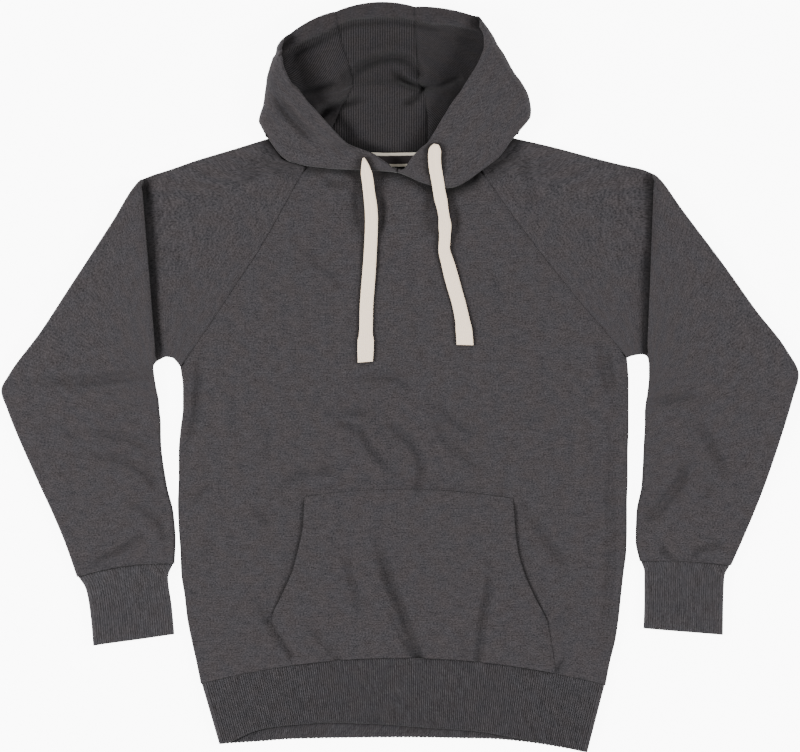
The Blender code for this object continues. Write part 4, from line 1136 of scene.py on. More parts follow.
@dataclass
class Body:
    """Front with its pocket, and back."""

    fabrics: Fabrics
    step: float = 3.2
    side_turns: int = 6
    front_columns: int = 158
    back_step: float = 5.0
    back_columns: int = 100
    pocket_rows: int = 72
    pocket_columns: int = 110
    opening_lift: float = 0.7
    borders: Array = field(init=False)
    dips: tuple[Crease, ...] = field(init=False)

    def __post_init__(self) -> None:
        """Keep the front's side borders and its seams."""
        rows, _ = self.rows(FRONT_RAGLAN)
        self.borders = rows[:, :4]
        self.dips = tuple(Crease(FRONT_RAGLAN[side.value], 3.2, RAGLAN_DIP, start=1, end=1) for side in Side)
        self.dips += (Crease(NECKLINE, 6.0, -2.4, start=1, end=1),)

    def rows(self, raglan: dict[str, Points]) -> tuple[Array, Array]:
        """Rows of a panel from the hem seam to the neck.

        Args:
            raglan: its raglan seams.

        Returns:
            Left x y, right x y and bow of each row, and its share of the raglan seam.
        """
        sections = np.array(BODY_SECTIONS, float)
        knots = sections[:, 1]
        reach = knots[-1] - knots[0]
        lower = flow(knots, sections, knots[0] + reach * graded(round(reach / self.step), end=False))
        left, right = (Line(raglan[side.value]) for side in Side)
        shares = graded(round(left.length / self.step), start=False)[1:]
        bow = sections[-1, 4] + (NECK_BOW - sections[-1, 4]) * shares
        upper = np.column_stack([left.part(shares), right.part(shares), bow])
        return np.concatenate([lower, upper]), np.concatenate([np.zeros(len(lower)), shares])

    def height(self, x: Array, y: Array) -> Array:
        """Height of the front's upper side at plan points.

        Args:
            x: x of the points.
            y: y of the points.

        Returns:
            The height.
        """
        left_x, left_y, right_x, right_y = self.borders.T
        left, right = np.interp(y, left_y, left_x), np.interp(y, right_y, right_x)
        share = np.clip((x - left) / (right - left), 0, 1)
        loft = CLOTH.loft * arch(share)
        loft = loft * (0.35 + 0.65 * ease((y - HEM_SEAM_Y) / 110)) * ease((NECK_Y - 2 - y) / 90)
        relief = rumple(x, y, Pattern.FRONT, 0.8) + folded(x, y, FRONT_CREASES)
        relief = relief * ease(np.minimum(x - left, right - x) / 16) * ease((NECK_Y - y) / 12)
        return CLOTH.body_height + loft + relief + folded(x, y, self.dips)

    @staticmethod
    def bowed(rows: Array, x: Array) -> Array:
        """Y of points on bowed rows.

        Args:
            rows: left x y, right x y and bow of each row.
            x: x of the points of each row.

        Returns:
            The y.
        """
        left_x, left_y, right_x, right_y, bow = rows.T[..., None]
        across = (x - left_x) / (right_x - left_x)
        return left_y + (right_y - left_y) * across + bow * arch(across)

    def grid(self, raglan: dict[str, Points], neckline: Line, columns: int) -> tuple[Array, ...]:
        """Plan of a panel.

        Args:
            raglan: its raglan seams.
            neckline: its neck seam.
            columns: steps between its rounded sides.

        Returns:
            Outer x, inner x, y, and how far up the rounded side each point is.
        """
        rows, climb = self.rows(raglan)
        fold = CLOTH.fold
        turns = np.linspace(0.05, math.pi / 2, self.side_turns + 1)[:-1]
        reach = fold * (1 - np.cos(turns))
        inner_reach = fold - (fold - CLOTH.jersey) * np.cos(turns)
        middle = graded(columns)
        flat = np.full(columns + 1, fold)
        inset = np.concatenate([reach, flat, (2 * fold - reach)[::-1]])
        inner_inset = np.concatenate([inner_reach, flat, (2 * fold - inner_reach)[::-1]])
        share = np.concatenate([0 * reach, middle, 1 + 0 * reach])
        up = np.concatenate([np.sin(turns), np.ones(columns + 1), np.sin(turns)[::-1]])
        rounded = 1 - ease(climb / 0.04)[:, None]
        left_x, _, right_x = rows.T[:3, :, None]
        x = left_x + inset + share * (right_x - left_x - 2 * fold)
        inner_x = x + (inner_inset - inset) * rounded
        y = self.bowed(rows, x)
        y = y + (neckline.y_at(x[-1]) - y[-1]) * ease((climb - 0.45) / 0.55)[:, None]
        return x, inner_x, y, 1 - rounded * (1 - up)

    def front(self) -> bpy.types.Object:
        """Build the front.

        Returns:
            The object.
        """
        x, inner_x, y, up = self.grid(FRONT_RAGLAN, Line(NECKLINE), self.front_columns)
        top = self.height(x, y) + folded(x, y, OPENING_HOLLOWS)
        outer = np.stack([x, y, CLOTH.fold + (top - CLOTH.fold) * up], axis=-1)
        inner = np.stack([inner_x, y, CLOTH.fold + (top - CLOTH.jersey - CLOTH.fold) * up], axis=-1)
        cloths = (self.fabrics.jersey, self.fabrics.inside)
        return panel("front_panel", outer, inner, outer[..., :2] * MM, cloths)

    def back(self) -> bpy.types.Object:
        """Build the back, flat where it rests.

        Returns:
            The object.
        """
        coarse = Body(self.fabrics, step=self.back_step)
        x, inner_x, y, up = coarse.grid(BACK_RAGLAN, Line(BACK_NECKLINE), self.back_columns)
        outer = np.stack([x, y, CLOTH.fold * (1 - up)], axis=-1)
        inner = np.stack([inner_x, y, CLOTH.fold - (CLOTH.fold - CLOTH.jersey) * up], axis=-1)
        cloths = (self.fabrics.jersey, self.fabrics.inside)
        return panel("back_panel", outer, inner, outer[..., :2] * MM, cloths)

    def pocket(self) -> bpy.types.Object:
        """Build the pocket on the front's surface, a little open at both hand openings.

        Returns:
            The object.
        """
        sections = np.array(BODY_SECTIONS, float)[:len(POCKET_SIDES)]
        knots = sections[:, 1]
        at = knots[0] + (knots[-1] - knots[0]) * graded(self.pocket_rows)
        sides = flow(knots, np.array(POCKET_SIDES, float), at)
        place = np.interp(at, knots, np.arange(len(knots)))[:, None]
        left_to_go = len(knots) - 1 - place
        x = sides[:, :1] + 1 + (sides[:, 1:] - sides[:, :1] - 2) * graded(self.pocket_columns)
        y = self.bowed(flow(knots, sections, at), x)
        beside = np.minimum(x - sides[:, :1], sides[:, 1:] - x)
        below_top = ease(left_to_go / 0.5)
        lift = self.opening_lift * mound(beside, 10) * ease((place - 1.9) / 0.9) * below_top
        under = self.height(x, y) + CLOTH.ease_off + lift
        body = rumple(x, y, Pattern.POCKET, 0.35) * ease(beside / 12) * ease(place / 0.5) * below_top
        sewn = 1 - ease((place - 1.5) / 0.7)
        edge = (1.2 + 0.7 * sewn) * mound(beside, 2.4 + 3.5 * sewn)
        edge = edge + 1.4 * mound(left_to_go * SECTION_PITCH, 4.0)
        edge = edge + 1.7 * mound((at - knots[0])[:, None], 12)
        edge = np.minimum(edge, CLOTH.jersey - 0.15)
        outer = np.stack([x, y, under + CLOTH.jersey + body - edge], axis=-1)
        inner = np.stack([x, y, under], axis=-1)
        cloths = (self.fabrics.jersey, self.fabrics.inside)
        bulge = (0.0, 1.0, 0.6, 1.0)
        return panel("kangaroo_pocket", outer, inner, outer[..., :2] * MM, cloths, bulge=bulge)

    def build(self) -> list[bpy.types.Object]:
        """Build the three panels, hang them from the root and hide the nodes that they replace.

        Returns:
            The three objects.
        """
        front, back, pocket = self.front(), self.back(), self.pocket()
        finish_sheet(back, "back", Cut(0.56, 0.65, 0.282))
        finish_sheet(front, "front", Cut(0.56, 0.64, 0.277))
        finish_sheet(pocket, "pocket", Cut(0.345, 0.24, 0.062))
        return [front, back, pocket]


# Sleeves


SLEEVE_CREASES = {
    "left": creases(
        (6, -2.4, 0, 1, 1, (-305, 238), (-302, 200), (-297, 140), (-292, 60), (-287, 25)),
        (4.4, -3.5, 0.2, 1, 0, (-178, 287), (-177, 260), (-181, 216)),
        (6, -4.2, 0.2, 0.3, 0.5, (-446, -8), (-411, -4), (-385, -5), (-350, -2), (-320, 2), (-297, 5)),
        (5, -3.1, 0.2, 0.4, 0.6, (-391, -66), (-359, -66), (-333, -71), (-307, -80), (-288, -90)),
        (4.6, -3.3, 0.2, 0.4, 0.3, (-395, -96), (-368, -93), (-338, -98), (-311, -109), (-295, -125),
         (-281, -147), (-275, -173)),
        (4.6, -3.6, 0.25, 0.4, 0.4, (-324, -145), (-303, -160), (-285, -177), (-279, -199), (-273, -216)),
        (4, -3.6, 0.25, 0.5, 0.3, (-384, -237), (-355, -221), (-333, -208), (-311, -194), (-294, -197)),
        (3.4, -2.4, 0, 0.6, 0, (-359, -232), (-335, -220)),
        (6, -2.2, 0, 0, 0, (-407, -56), (-389, -71), (-364, -80)),
        (9, -5.0, 0, 0.8, 0.8, (-170, 281), (-160, 268), (-146, 255), (-128, 247)),
        (3, 2.9, 0, 1, 0, (-299, 234), (-293, 212)),
        (9, -1.7, 0, 0, 0, (-266, 176), (-256, 138), (-244, 92)),
    ),
    "right": creases(
        (9, -5.6, 0, 1, 0.1, (302, 246), (303, 205), (301, 165), (297, 120)),
        (4.4, -3.8, -0.2, 1, 0, (137, 288), (146, 266), (155, 246), (159, 212), (154, 181)),
        (5, -3.6, 0.2, 0.3, 0, (298, -31), (327, -25), (349, -24), (373, -36)),
        (5, -3.8, 0.25, 0.3, 0, (336, -47), (358, -58), (369, -72), (380, -92), (388, -110), (404, -140)),
        (5.4, -4.6, -0.25, 0.8, 0, (292, -172), (310, -160), (323, -143), (336, -128), (342, -106),
         (340, -82)),
        (5, -2.4, 0, 0, 0, (357, -151), (368, -140), (381, -121)),
        (3.4, -4.2, 0, 0, 1, (312, -199), (319, -214), (331, -224)),
        (3.4, -3.6, 0, 1, 0, (352, -223), (359, -209), (375, -204), (398, -201)),
        (9, -5.0, 0, 0.8, 0.8, (136, 272), (124, 258), (106, 246)),
        (5, -2.2, 0, 0, 0, (418, 56), (430, 66)),
        (7, -2.2, 0, 0, 0, (262, 239), (267, 212), (265, 164)),
    ),
}


@dataclass
class Sleeve:
    """Sleeve tube from the raglan seams to the cuff, folded down at the shoulder."""

    side: Side
    fabrics: Fabrics
    step: float = 3.4
    fine_step: float = 1.1
    fine_reach: float = 5.0
    top_columns: int = 46
    under_columns: int = 28
    turns: int = 8
    undercut: float = 6.5
    overhang: float = 1.5
    top_at: Array = field(init=False)
    under_at: Array = field(init=False)

    def __post_init__(self) -> None:
        """Place the columns of the upper and of the under side, from the underarm to the shoulder."""
        self.top_at = graded(self.top_columns, fine=0.35)[1:-1]
        self.under_at = np.linspace(0, 1, self.under_columns + 1)[1:-1]

    def rings(self) -> tuple[Array, Array, Array]:
        """Rings of the sleeve.

        Returns:
            The table's columns at each ring, its place along the sleeve, and the place of each row.
        """
        table = np.array(SLEEVE_RINGS[self.side.value], float)
        move = np.diff(table, axis=0)
        moved = (np.hypot(move[:, 0], move[:, 1]) + np.hypot(move[:, 2], move[:, 3])) / 2
        moved = moved + np.abs(move[:, 5])
        knots = np.concatenate([[0.0], np.cumsum(moved)])
        at = [0.0]
        while at[-1] < knots[-1]:
            tucked = knots[TUCK_START] < at[-1] < knots[TUCK_PAST]
            fine = tucked or at[-1] < self.fine_reach or at[-1] > knots[-1] - self.fine_reach
            at.append(at[-1] + (self.fine_step if fine else self.step))
        at = np.array(at[:-1] + [knots[-1]])
        return flow(knots, table, at), at, knots

    def chain(self, raglan: dict[str, Points], neck: Points) -> tuple[Line, Array, Array]:
        """Front or back border of the sleeve's first ring.

        Args:
            raglan: raglan seams of that side of the body.
            neck: corner of its neck seam.

        Returns:
            The border from the underarm fold to the shoulder fold, and the steps into it at both ends.
        """
        seam = Line(raglan[self.side.value])
        shoulder = np.array(SHOULDER_NECK[self.side.value], float)
        into = unit(np.array(neck, float) - shoulder)
        points = np.concatenate(
            [seam.at(np.linspace(CLOTH.fold, seam.length, 80)), [neck], [shoulder + into * CLOTH.fold]]
        )
        start = unit(seam.at(CLOTH.fold) - seam.at(0.0))
        return Line(points, smooth=False), start, into

    def fold_edge(self, edge: Array, ways: list[Array], top: float, height: float, order: int) -> tuple:
        """Rounded fold of a ring at the underarm or the shoulder.

        Args:
            edge: its outermost x and y.
            ways: steps into the upper and the under side.
            top: height of the outer side above it.
            height: height of the ring.
            order: 1 upwards, -1 downwards.

        Returns:
            Points of the outer and of the inner side, and how much relief each takes.
        """
        wall, angle = CLOTH.jersey, np.linspace(-math.pi / 2, math.pi / 2, self.turns + 1)[::order]
        way = np.where(angle[:, None] > 0, *ways)
        turn, up = (1 - np.cos(angle))[:, None], (1 + np.sin(angle)) / 2
        outer = np.column_stack([edge + way * CLOTH.fold * turn, top * up])
        inner = edge + way * (wall + (CLOTH.fold - wall) * turn)
        return outer, np.column_stack([inner, wall + (height - 2 * wall) * up]), np.zeros(len(angle))

    def loop(self, ring: Array, chains: tuple[tuple[Line, Array, Array], ...]) -> list[Array]:
        """Loop of one ring: underarm fold, upper side, shoulder fold, under side.

        Args:
            ring: its row of the table.
            chains: border, and steps into it at both ends, of the front and of the back.

        Returns:
            Points of the outer and of the inner side, and how much relief each takes.
        """
        outer_edge, inner_edge, height, tuck, straight = ring[:2], ring[2:4], *ring[4:]
        chord = unit(outer_edge - inner_edge)
        starts = [unit(start + (chord - start) * straight) for _, start, _ in chains]
        ends = [unit(end + (-chord - end) * straight) for _, _, end in chains]
        tops = [height + tuck * share for share in SHOULDER_TUCK]
        faces = []
        for shares, (low, high), level, (line, _, _), start, end in (
            (self.top_at, tops, height - CLOTH.jersey, chains[0], starts[0], ends[0]),
            (self.under_at[::-1], (0.0, 0.0), CLOTH.jersey, chains[1], starts[1], ends[1]),
        ):
            first, last = inner_edge + start * CLOTH.fold, outer_edge + end * CLOTH.fold
            along = shares[:, None]
            border = line.part(shares) - (line.points[0] + (line.points[-1] - line.points[0]) * along)
            xy = first + (last - first) * along + border * (1 - straight)
            raised = ease(np.minimum(shares, 1 - shares) * np.linalg.norm(last - first) / 14)
            outer = np.column_stack([xy, low + (high - low) * shares])
            faces.append((outer, np.column_stack([xy, np.full(len(shares), level)]), raised * (high > 0)))
        parts = (
            self.fold_edge(inner_edge, starts, tops[0], height, 1), faces[0],
            self.fold_edge(outer_edge, ends, tops[1], height, -1), faces[1],
        )
        return [np.concatenate(columns) for columns in zip(*parts)]

    def build(self) -> bpy.types.Object:
        """Build the sleeve, hang it from the root and hide the node that it replaces.

        Returns:
            The object.
        """
        key, wall = self.side.value, CLOTH.jersey
        rings, places, knots = self.rings()
        chains = (
            self.chain(FRONT_RAGLAN, FRONT_NECK_SIDE[key]), self.chain(BACK_RAGLAN, BACK_NECK_SIDE[key]),
        )
        outer, inner, lifts = zip(*(self.loop(ring, chains) for ring in rings))
        outer, inner, lifts = np.stack(outer), np.stack(inner), np.stack(lifts)
        x, y = outer[..., 0], outer[..., 1]
        pattern = Pattern.SLEEVE_LEFT if self.side is Side.LEFT else Pattern.SLEEVE_RIGHT
        relief = rumple(x, y, pattern) + folded(x, y, SLEEVE_CREASES[key])
        settle = ease(places / 7) * ease((places[-1] - places + 3) / 12)
        seam = -0.7 * mound(places, 3.2) - 0.8 * mound(places[-1] - places, 2.6)
        top = slice(self.turns + 1, self.turns + self.top_columns)
        below = slice(-len(self.under_at), None)
        outer[..., 2] += relief * lifts * settle[:, None]
        start, foot, crest, end = knots[[TUCK_START, TUCK_FOOT, TUCK_CREST, TUCK_END]]
        rising = ease((places - foot) / (crest - foot))
        falling = ease((crest - places) / (crest - foot))
        under = self.undercut * ease((places - start) / (foot - start)) * falling
        over = self.overhang * rising * ease((end - places) / (end - crest))
        outer[..., 0] += self.side.sign * (under - over)[:, None] * lifts
        bowed = CUFF_BOW[key] * ease((places - places[-1] + 40) / 40)[:, None]
        for columns, shares in ((top, self.top_at), (below, self.under_at[::-1])):
            outer[:, columns, 1] += bowed * arch(shares)
            inner[:, columns, 1] += bowed * arch(shares)
        outer[:, top, 2] = np.maximum(outer[:, top, 2] + seam[:, None], 2 * wall)
        inner[:, top, 2] = np.minimum(inner[:, top, 2], outer[:, top, 2] - wall * 0.9)
        shift = np.array([self.side.sign * CLOTH.gap * 1.2, -CLOTH.gap * 0.2, 0.0])
        near = np.clip(1 - places / 3, 0, 1)[:, None, None]
        outer, inner = outer + shift * near, inner + shift * near
        maps = cloth_map(walked_round(outer), -places[:, None])
        piece = tube(f"sleeve_{key}_tube", outer, inner, maps, (self.fabrics.jersey, self.fabrics.inside))
        finish_sheet(piece, f"sleeve_{key}", Cut(0.50, 0.62, 0.225))
        return piece


# Rib cuffs and hem band


def start_tree(name: str, sizes: tuple[str, ...]) -> tuple[bpy.types.GeometryNodeTree, bpy.types.Node]:
    """Geometry tree with the inputs Geometry, its sizes and Material, and the output Geometry.

    Args:
        name: the tree's name.
        sizes: name of each number that it takes.

    Returns:
        The tree and the node of its inputs.
    """
    tree = bpy.data.node_groups.new(name, "GeometryNodeTree")
    kinds = (("Geometry", "Geometry"), *((size, "Float") for size in sizes), ("Material", "Material"))
    for socket, kind in kinds:
        tree.interface.new_socket(socket, in_out="INPUT", socket_type="NodeSocket" + kind)
    tree.interface.new_socket("Geometry", in_out="OUTPUT", socket_type="NodeSocketGeometry")
    return tree, node(tree, "NodeGroupInput")


def end_tree(tree: bpy.types.GeometryNodeTree, given: bpy.types.Node, made: bpy.types.Node) -> None:
    """Make what a tree has built real, give it its material and put it out.

    Args:
        tree: the geometry tree.
        given: the node of its inputs.
        made: the node that has built the geometry.
    """
    real = node(tree, "GeometryNodeRealizeInstances", {"Geometry": made})
    inputs = {"Geometry": real, "Material": given.outputs["Material"]}
    node(tree, "NodeGroupOutput", {"Geometry": node(tree, "GeometryNodeSetMaterial", inputs)})


def rib_tree() -> bpy.types.GeometryNodeTree:
    """Geometry nodes that cut grooves between the ribs, where the rib attribute counts them.

    Returns:
        The tree, with the inputs Geometry, Depth, Sharpness and Material.
    """
    tree, given = start_tree("rib_knit", ("Depth", "Sharpness"))
    rib = node(tree, "GeometryNodeInputNamedAttribute", {"Name": "rib"}, data_type="FLOAT")
    count = rib.outputs["Attribute"]
    turn = node(tree, "ShaderNodeMath", {0: count, 1: 2 * math.pi}, operation="MULTIPLY")
    wave = node(tree, "ShaderNodeMath", {0: turn}, operation="COSINE")
    here = node(tree, "ShaderNodeMath", {0: count, 1: 0.5}, operation="GREATER_THAN")
    for operation, *values in (
        ("MULTIPLY_ADD", 0.5, 0.5), ("POWER", given.outputs["Sharpness"]), ("MULTIPLY", here),
        ("MULTIPLY", given.outputs["Depth"]), ("MULTIPLY", -1.0),
    ):
        wave = node(tree, "ShaderNodeMath", dict(enumerate((wave, *values))), operation=operation)
    way = node(tree, "GeometryNodeInputNormal").outputs["Normal"]
    offset = node(tree, "ShaderNodeVectorMath", {0: way, "Scale": wave}, operation="SCALE")
    moved = node(tree, "GeometryNodeSetPosition", {"Geometry": given.outputs["Geometry"], "Offset": offset})
    end_tree(tree, given, moved)
    return tree


def apply_tree(piece: bpy.types.Object, tree: bpy.types.GeometryNodeTree, inputs: dict[str, object]) -> None:
    """Run a tree on a piece, and keep the result as its plain mesh.

    Args:
        piece: the object.
        tree: the geometry nodes.
        inputs: value of each named input.
    """
    modifier = piece.modifiers.new(tree.name, "NODES")
    modifier.node_group = tree
    for item in tree.interface.items_tree:
        if item.in_out == "INPUT" and item.name in inputs:
            modifier[item.identifier] = inputs[item.name]
    graph = bpy.context.evaluated_depsgraph_get()
    graph.update()
    ready = piece.evaluated_get(graph)
    mesh = bpy.data.meshes.new_from_object(ready, preserve_all_data_layers=True, depsgraph=graph)
    piece.modifiers.clear()
    piece.data = mesh


@dataclass
class RibBand:
    """Rib tube that is folded double, open at both ends."""

    fabrics: Fabrics
    tree: bpy.types.GeometryNodeTree
    ribs: int
    length: float = 72.0
    rows: int = 18
    top_per_rib: int = 6
    under_per_rib: int = 4
    turns: int = 8
    depth: float = 0.85
    relief: float = 0.6
    settle: float = 0.0
    seam_dip: float = 0.4

    def place(self, shares: Array, station: float, upper: bool) -> Array:
        """Plan points across the band at one station."""
        raise NotImplementedError

    def tube(self, name: str) -> bpy.types.Object:
        """Build the tube.

        Args:
            name: the piece's name.

        Returns:
            The object, with its ribs.
        """
        high, wall, radius = CLOTH.rib_height, CLOTH.rib, CLOTH.rib_height / 2
        ceiling = high - wall
        turns = np.linspace(-math.pi / 2, math.pi / 2, self.turns + 1)
        up = (1 + np.sin(turns)) / 2
        reach = radius * (1 - np.cos(turns))
        inner_reach = wall + (radius - wall) * (1 - np.cos(turns))
        top_at = np.linspace(0, 1, self.ribs * self.top_per_rib + 1)[1:-1]
        under_at = np.linspace(0, 1, self.ribs * self.under_per_rib + 1)[1:-1][::-1]
        stations = graded(self.rows - 1, fine=0.3, run=4) * (1 - wall / 4 / self.length)
        outer, inner = [], []
        for station in stations:
            ends = self.place(np.array([0.0, 1.0]), station, True)
            width = float(np.linalg.norm(ends[1] - ends[0]))
            inset = radius / width
            top = self.place(inset + (1 - 2 * inset) * top_at, station, True)
            under = self.place(inset + (1 - 2 * inset) * under_at, station, False)
            loop, inner_loop = [], []
            for end, order, side, levels in ((0, 1, top, (high, ceiling)), (1, -1, under, (0.0, wall))):
                level = wall + (ceiling - wall) * up[::order]
                for made, way, z, flat in (
                    (loop, reach, high * up[::order], levels[0]), (inner_loop, inner_reach, level, levels[1]),
                ):
                    xy = self.place(end + order * way[::order] / width, station, True)
                    made.append(np.column_stack([xy, z]))
                    made.append(np.column_stack([side, np.full(len(side), flat)]))
            outer.append(np.concatenate(loop))
            inner.append(np.concatenate(inner_loop))
        outer, inner = np.stack(outer), np.stack(inner)
        first = self.turns + 1
        upper, second = slice(first, first + len(top_at)), 2 * first + len(top_at)
        hold = ease(np.minimum(top_at, 1 - top_at) * 14)
        relief = rumple(outer[:, upper, 0], outer[:, upper, 1], Pattern.RIB, self.relief) * hold
        settled = ease((stations - 0.78) / 0.2)[:, None] * hold
        seam = self.seam_dip * mound(stations[:, None] * self.length, 2.4)
        outer[:, upper, 2] += relief - seam - self.settle * settled
        inner[:, upper, 2] -= min(self.settle, ceiling - wall) * 0.85 * settled
        count = np.concatenate([
            np.linspace(6, 8, first), 8 + self.ribs * top_at,
            8 + self.ribs + np.linspace(0, 2, first), 8 + self.ribs * under_at,
        ])
        marks = np.broadcast_to(count, outer.shape[:2])
        inner_marks = np.where(np.arange(outer.shape[1]) >= second, marks, 0.0)
        piece = tube(
            name, outer, inner, cloth_map(walked_round(outer), -stations[:, None] * self.length),
            (self.fabrics.rib, self.fabrics.rib), bulge=(0.0, 1.0), marks=marks, inner_marks=inner_marks,
        )
        inputs = {"Depth": self.depth * MM, "Sharpness": 1.3, "Material": self.fabrics.rib}
        apply_tree(piece, self.tree, inputs)
        return piece


@dataclass
class HemBand(RibBand):
    """Hem band, whose front edge lies higher than its back edge."""

    inset: float = 0.5
    settle: float = 2.0

    def place(self, shares: Array, station: float, upper: bool) -> Array:
        """Plan points across the band, from the seam to the lower edge.

        Args:
            shares: where across, from 0 to 1.
            station: how far from the seam, from 0 to 1.
            upper: whether it is the upper side.

        Returns:
            Their x and y.
        """
        left_x, left_y, right_x, right_y, bow = BODY_SECTIONS[0]
        trim = self.inset / (right_x - left_x)
        across = trim + (1 - 2 * trim) * shares
        top = np.column_stack([
            left_x + (right_x - left_x) * across,
            left_y + (right_y - left_y) * across + bow * arch(across) - CLOTH.gap,
        ])
        edge = Line(HEM_FRONT_EDGE if upper else HEM_BACK_EDGE)
        x = HEM_FRONT_EDGE[0][0] + (HEM_FRONT_EDGE[-1][0] - HEM_FRONT_EDGE[0][0]) * shares
        low = np.column_stack([x, edge.y_at(x)])
        return top + (low - top) * station

    def build(self) -> bpy.types.Object:
        """Build the band, hang it from the root and hide the node that it replaces.

        Returns:
            The object.
        """
        piece = self.tube("hem_rib_band")
        finish_sheet(piece, "hem_band", Cut(0.98, 0.085, 0.0825))
        return piece


@dataclass
class Cuff(RibBand):
    """Rib cuff, drawn in below the end of the sleeve."""

    side: Side = Side.LEFT
    rows: int = 22
    top_per_rib: int = 8
    under_per_rib: int = 4
    inset: float = 1.0
    depth: float = 0.65
    seam_dip: float = 1.1

    def place(self, shares: Array, station: float, upper: bool) -> Array:
        """Plan points across the cuff, from the seam to its edge.

        Args:
            shares: where across, from 0 to 1.
            station: how far from the seam, from 0 to 1.
            upper: whether it is the upper side; not used.

        Returns:
            Their x and y.
        """
        ring = SLEEVE_RINGS[self.side.value][-1]
        outer, inner = np.array(ring[:2], float), np.array(ring[2:4], float)
        along = unit(inner - outer)
        down = np.array([along[1], -along[0]]) * (1 if along[0] > 0 else -1)
        seam = np.concatenate([
            outer + along * self.inset + down * CLOTH.gap, inner - along * self.inset + down * CLOTH.gap
        ])
        lines = np.vstack([seam, np.array(CUFF_RINGS[self.side.value], float)])
        start, end = np.split(flow(np.array([0, 0.2, 0.6, 1.0]), lines, np.array([station]))[0], 2)
        if self.side is Side.RIGHT:
            start, end = end, start
        bow = CUFF_BOW[self.side.value] * arch(shares) * ease(1 - station / 0.8)
        return start + (end - start) * shares[:, None] + np.column_stack([0 * shares, bow])

    def build(self) -> bpy.types.Object:
        """Build the cuff, hang it from the root and hide the node that it replaces.

        Returns:
            The object.
        """
        piece = self.tube(f"cuff_{self.side.value}_rib")
        finish_sheet(piece, f"cuff_{self.side.value}", Cut(0.22, 0.09, 0.0185))
        return piece


# Hood


# Share of the front half of the neck seam that lies along the neckline
FLAP_TURN = 0.68
CROWN_CASING = (
    (-144, 386), (-115, 402), (-85, 415), (-70, 423.6), (-50, 429.6), (0, 430.8), (38, 423.6), (62, 421.8),
    (96, 414),
)
# Y above which the crown's casing lies
CASING_FOOT = 383
HOOD_INSIDE_CREASES = creases(
    (4.6, 0.9, 0, 0.8, 0, (-119, 336), (-93, 340), (-76, 346), (-57, 349), (-23, 352), (5, 350), (15, 346)),
    (3.4, -3.6, 0, 0.9, 0, (-117, 344), (-93, 348), (-76, 354), (-65, 355)),
    (5.4, -6.5, 0, 0.9, 0, (-98, 311), (-86, 323), (-65, 329), (-47, 334), (-33, 336)),
    (6.0, -7.6, 0.25, 0.5, 0.5, (-64, 360), (-41, 375), (-17, 383), (9, 381), (24, 366)),
    (4.2, -6.4, 0.3, 0.3, 0, (-8, 370), (3, 356), (21, 348), (43, 347)),
    (3.8, -5.4, 0, 1, 0.2, (26, 343), (20, 335), (3, 325)),
    (3.4, -2.8, 0, 0.6, 1, (27, 346), (49, 348), (70, 358)),
    (7, -2.6, 0, 0, 1, (31, 413), (61, 409), (94, 407)),
    (5, -2.2, 0, 1, 0, (-132, 372), (-124, 388), (-110, 396), (-79, 409)),
    (6, -2.0, 0, 0.6, 0.8, (-123, 373), (-116, 349)),
    (4, -1.2, 0, 0, 0, (-27, 344), (-28, 318), (-37, 289)),
    (32, 7.0, 0, 0.7, 0.8, (-62, 376), (6, 378)),
    (18, 2.6, 0, 0.6, 0.6, (-66, 342), (40, 342)),
    (16, 0.9, 0, 0, 0, (-57, 308), (13, 306)),
    (11, -3.4, 0, 1, 0, (-90, 318), (-70, 300), (-52, 284)),
)
FLAP_CREASES = {
    "left": creases(
        (6, -5.0, 0.3, 0.6, 0, (-157, 360), (-149, 336), (-135, 318), (-119, 300), (-90, 270)),
        (9, -1.0, 0, 0, 0, (-143, 284), (-119, 275), (-93, 272)),
        (4, -1.6, 0.3, 0, 0, (-83, 271), (-69, 276), (-57, 272)),
        (4, -1.6, 0, 0.8, 0, (-98, 246), (-93, 254), (-83, 260)),
    ),
    "right": creases(
        (7, -2.4, 0.2, 0, 0, (121, 373), (128, 352), (124, 332)),
        (7, -2.0, 0, 0, 0, (151, 330), (135, 311), (118, 299)),
        (7, -0.9, 0, 0, 0, (63, 260), (75, 270), (85, 284)),
        (5, -1.3, 0.2, 0.6, 0, (10, 241), (20, 253), (29, 270)),
    ),
}


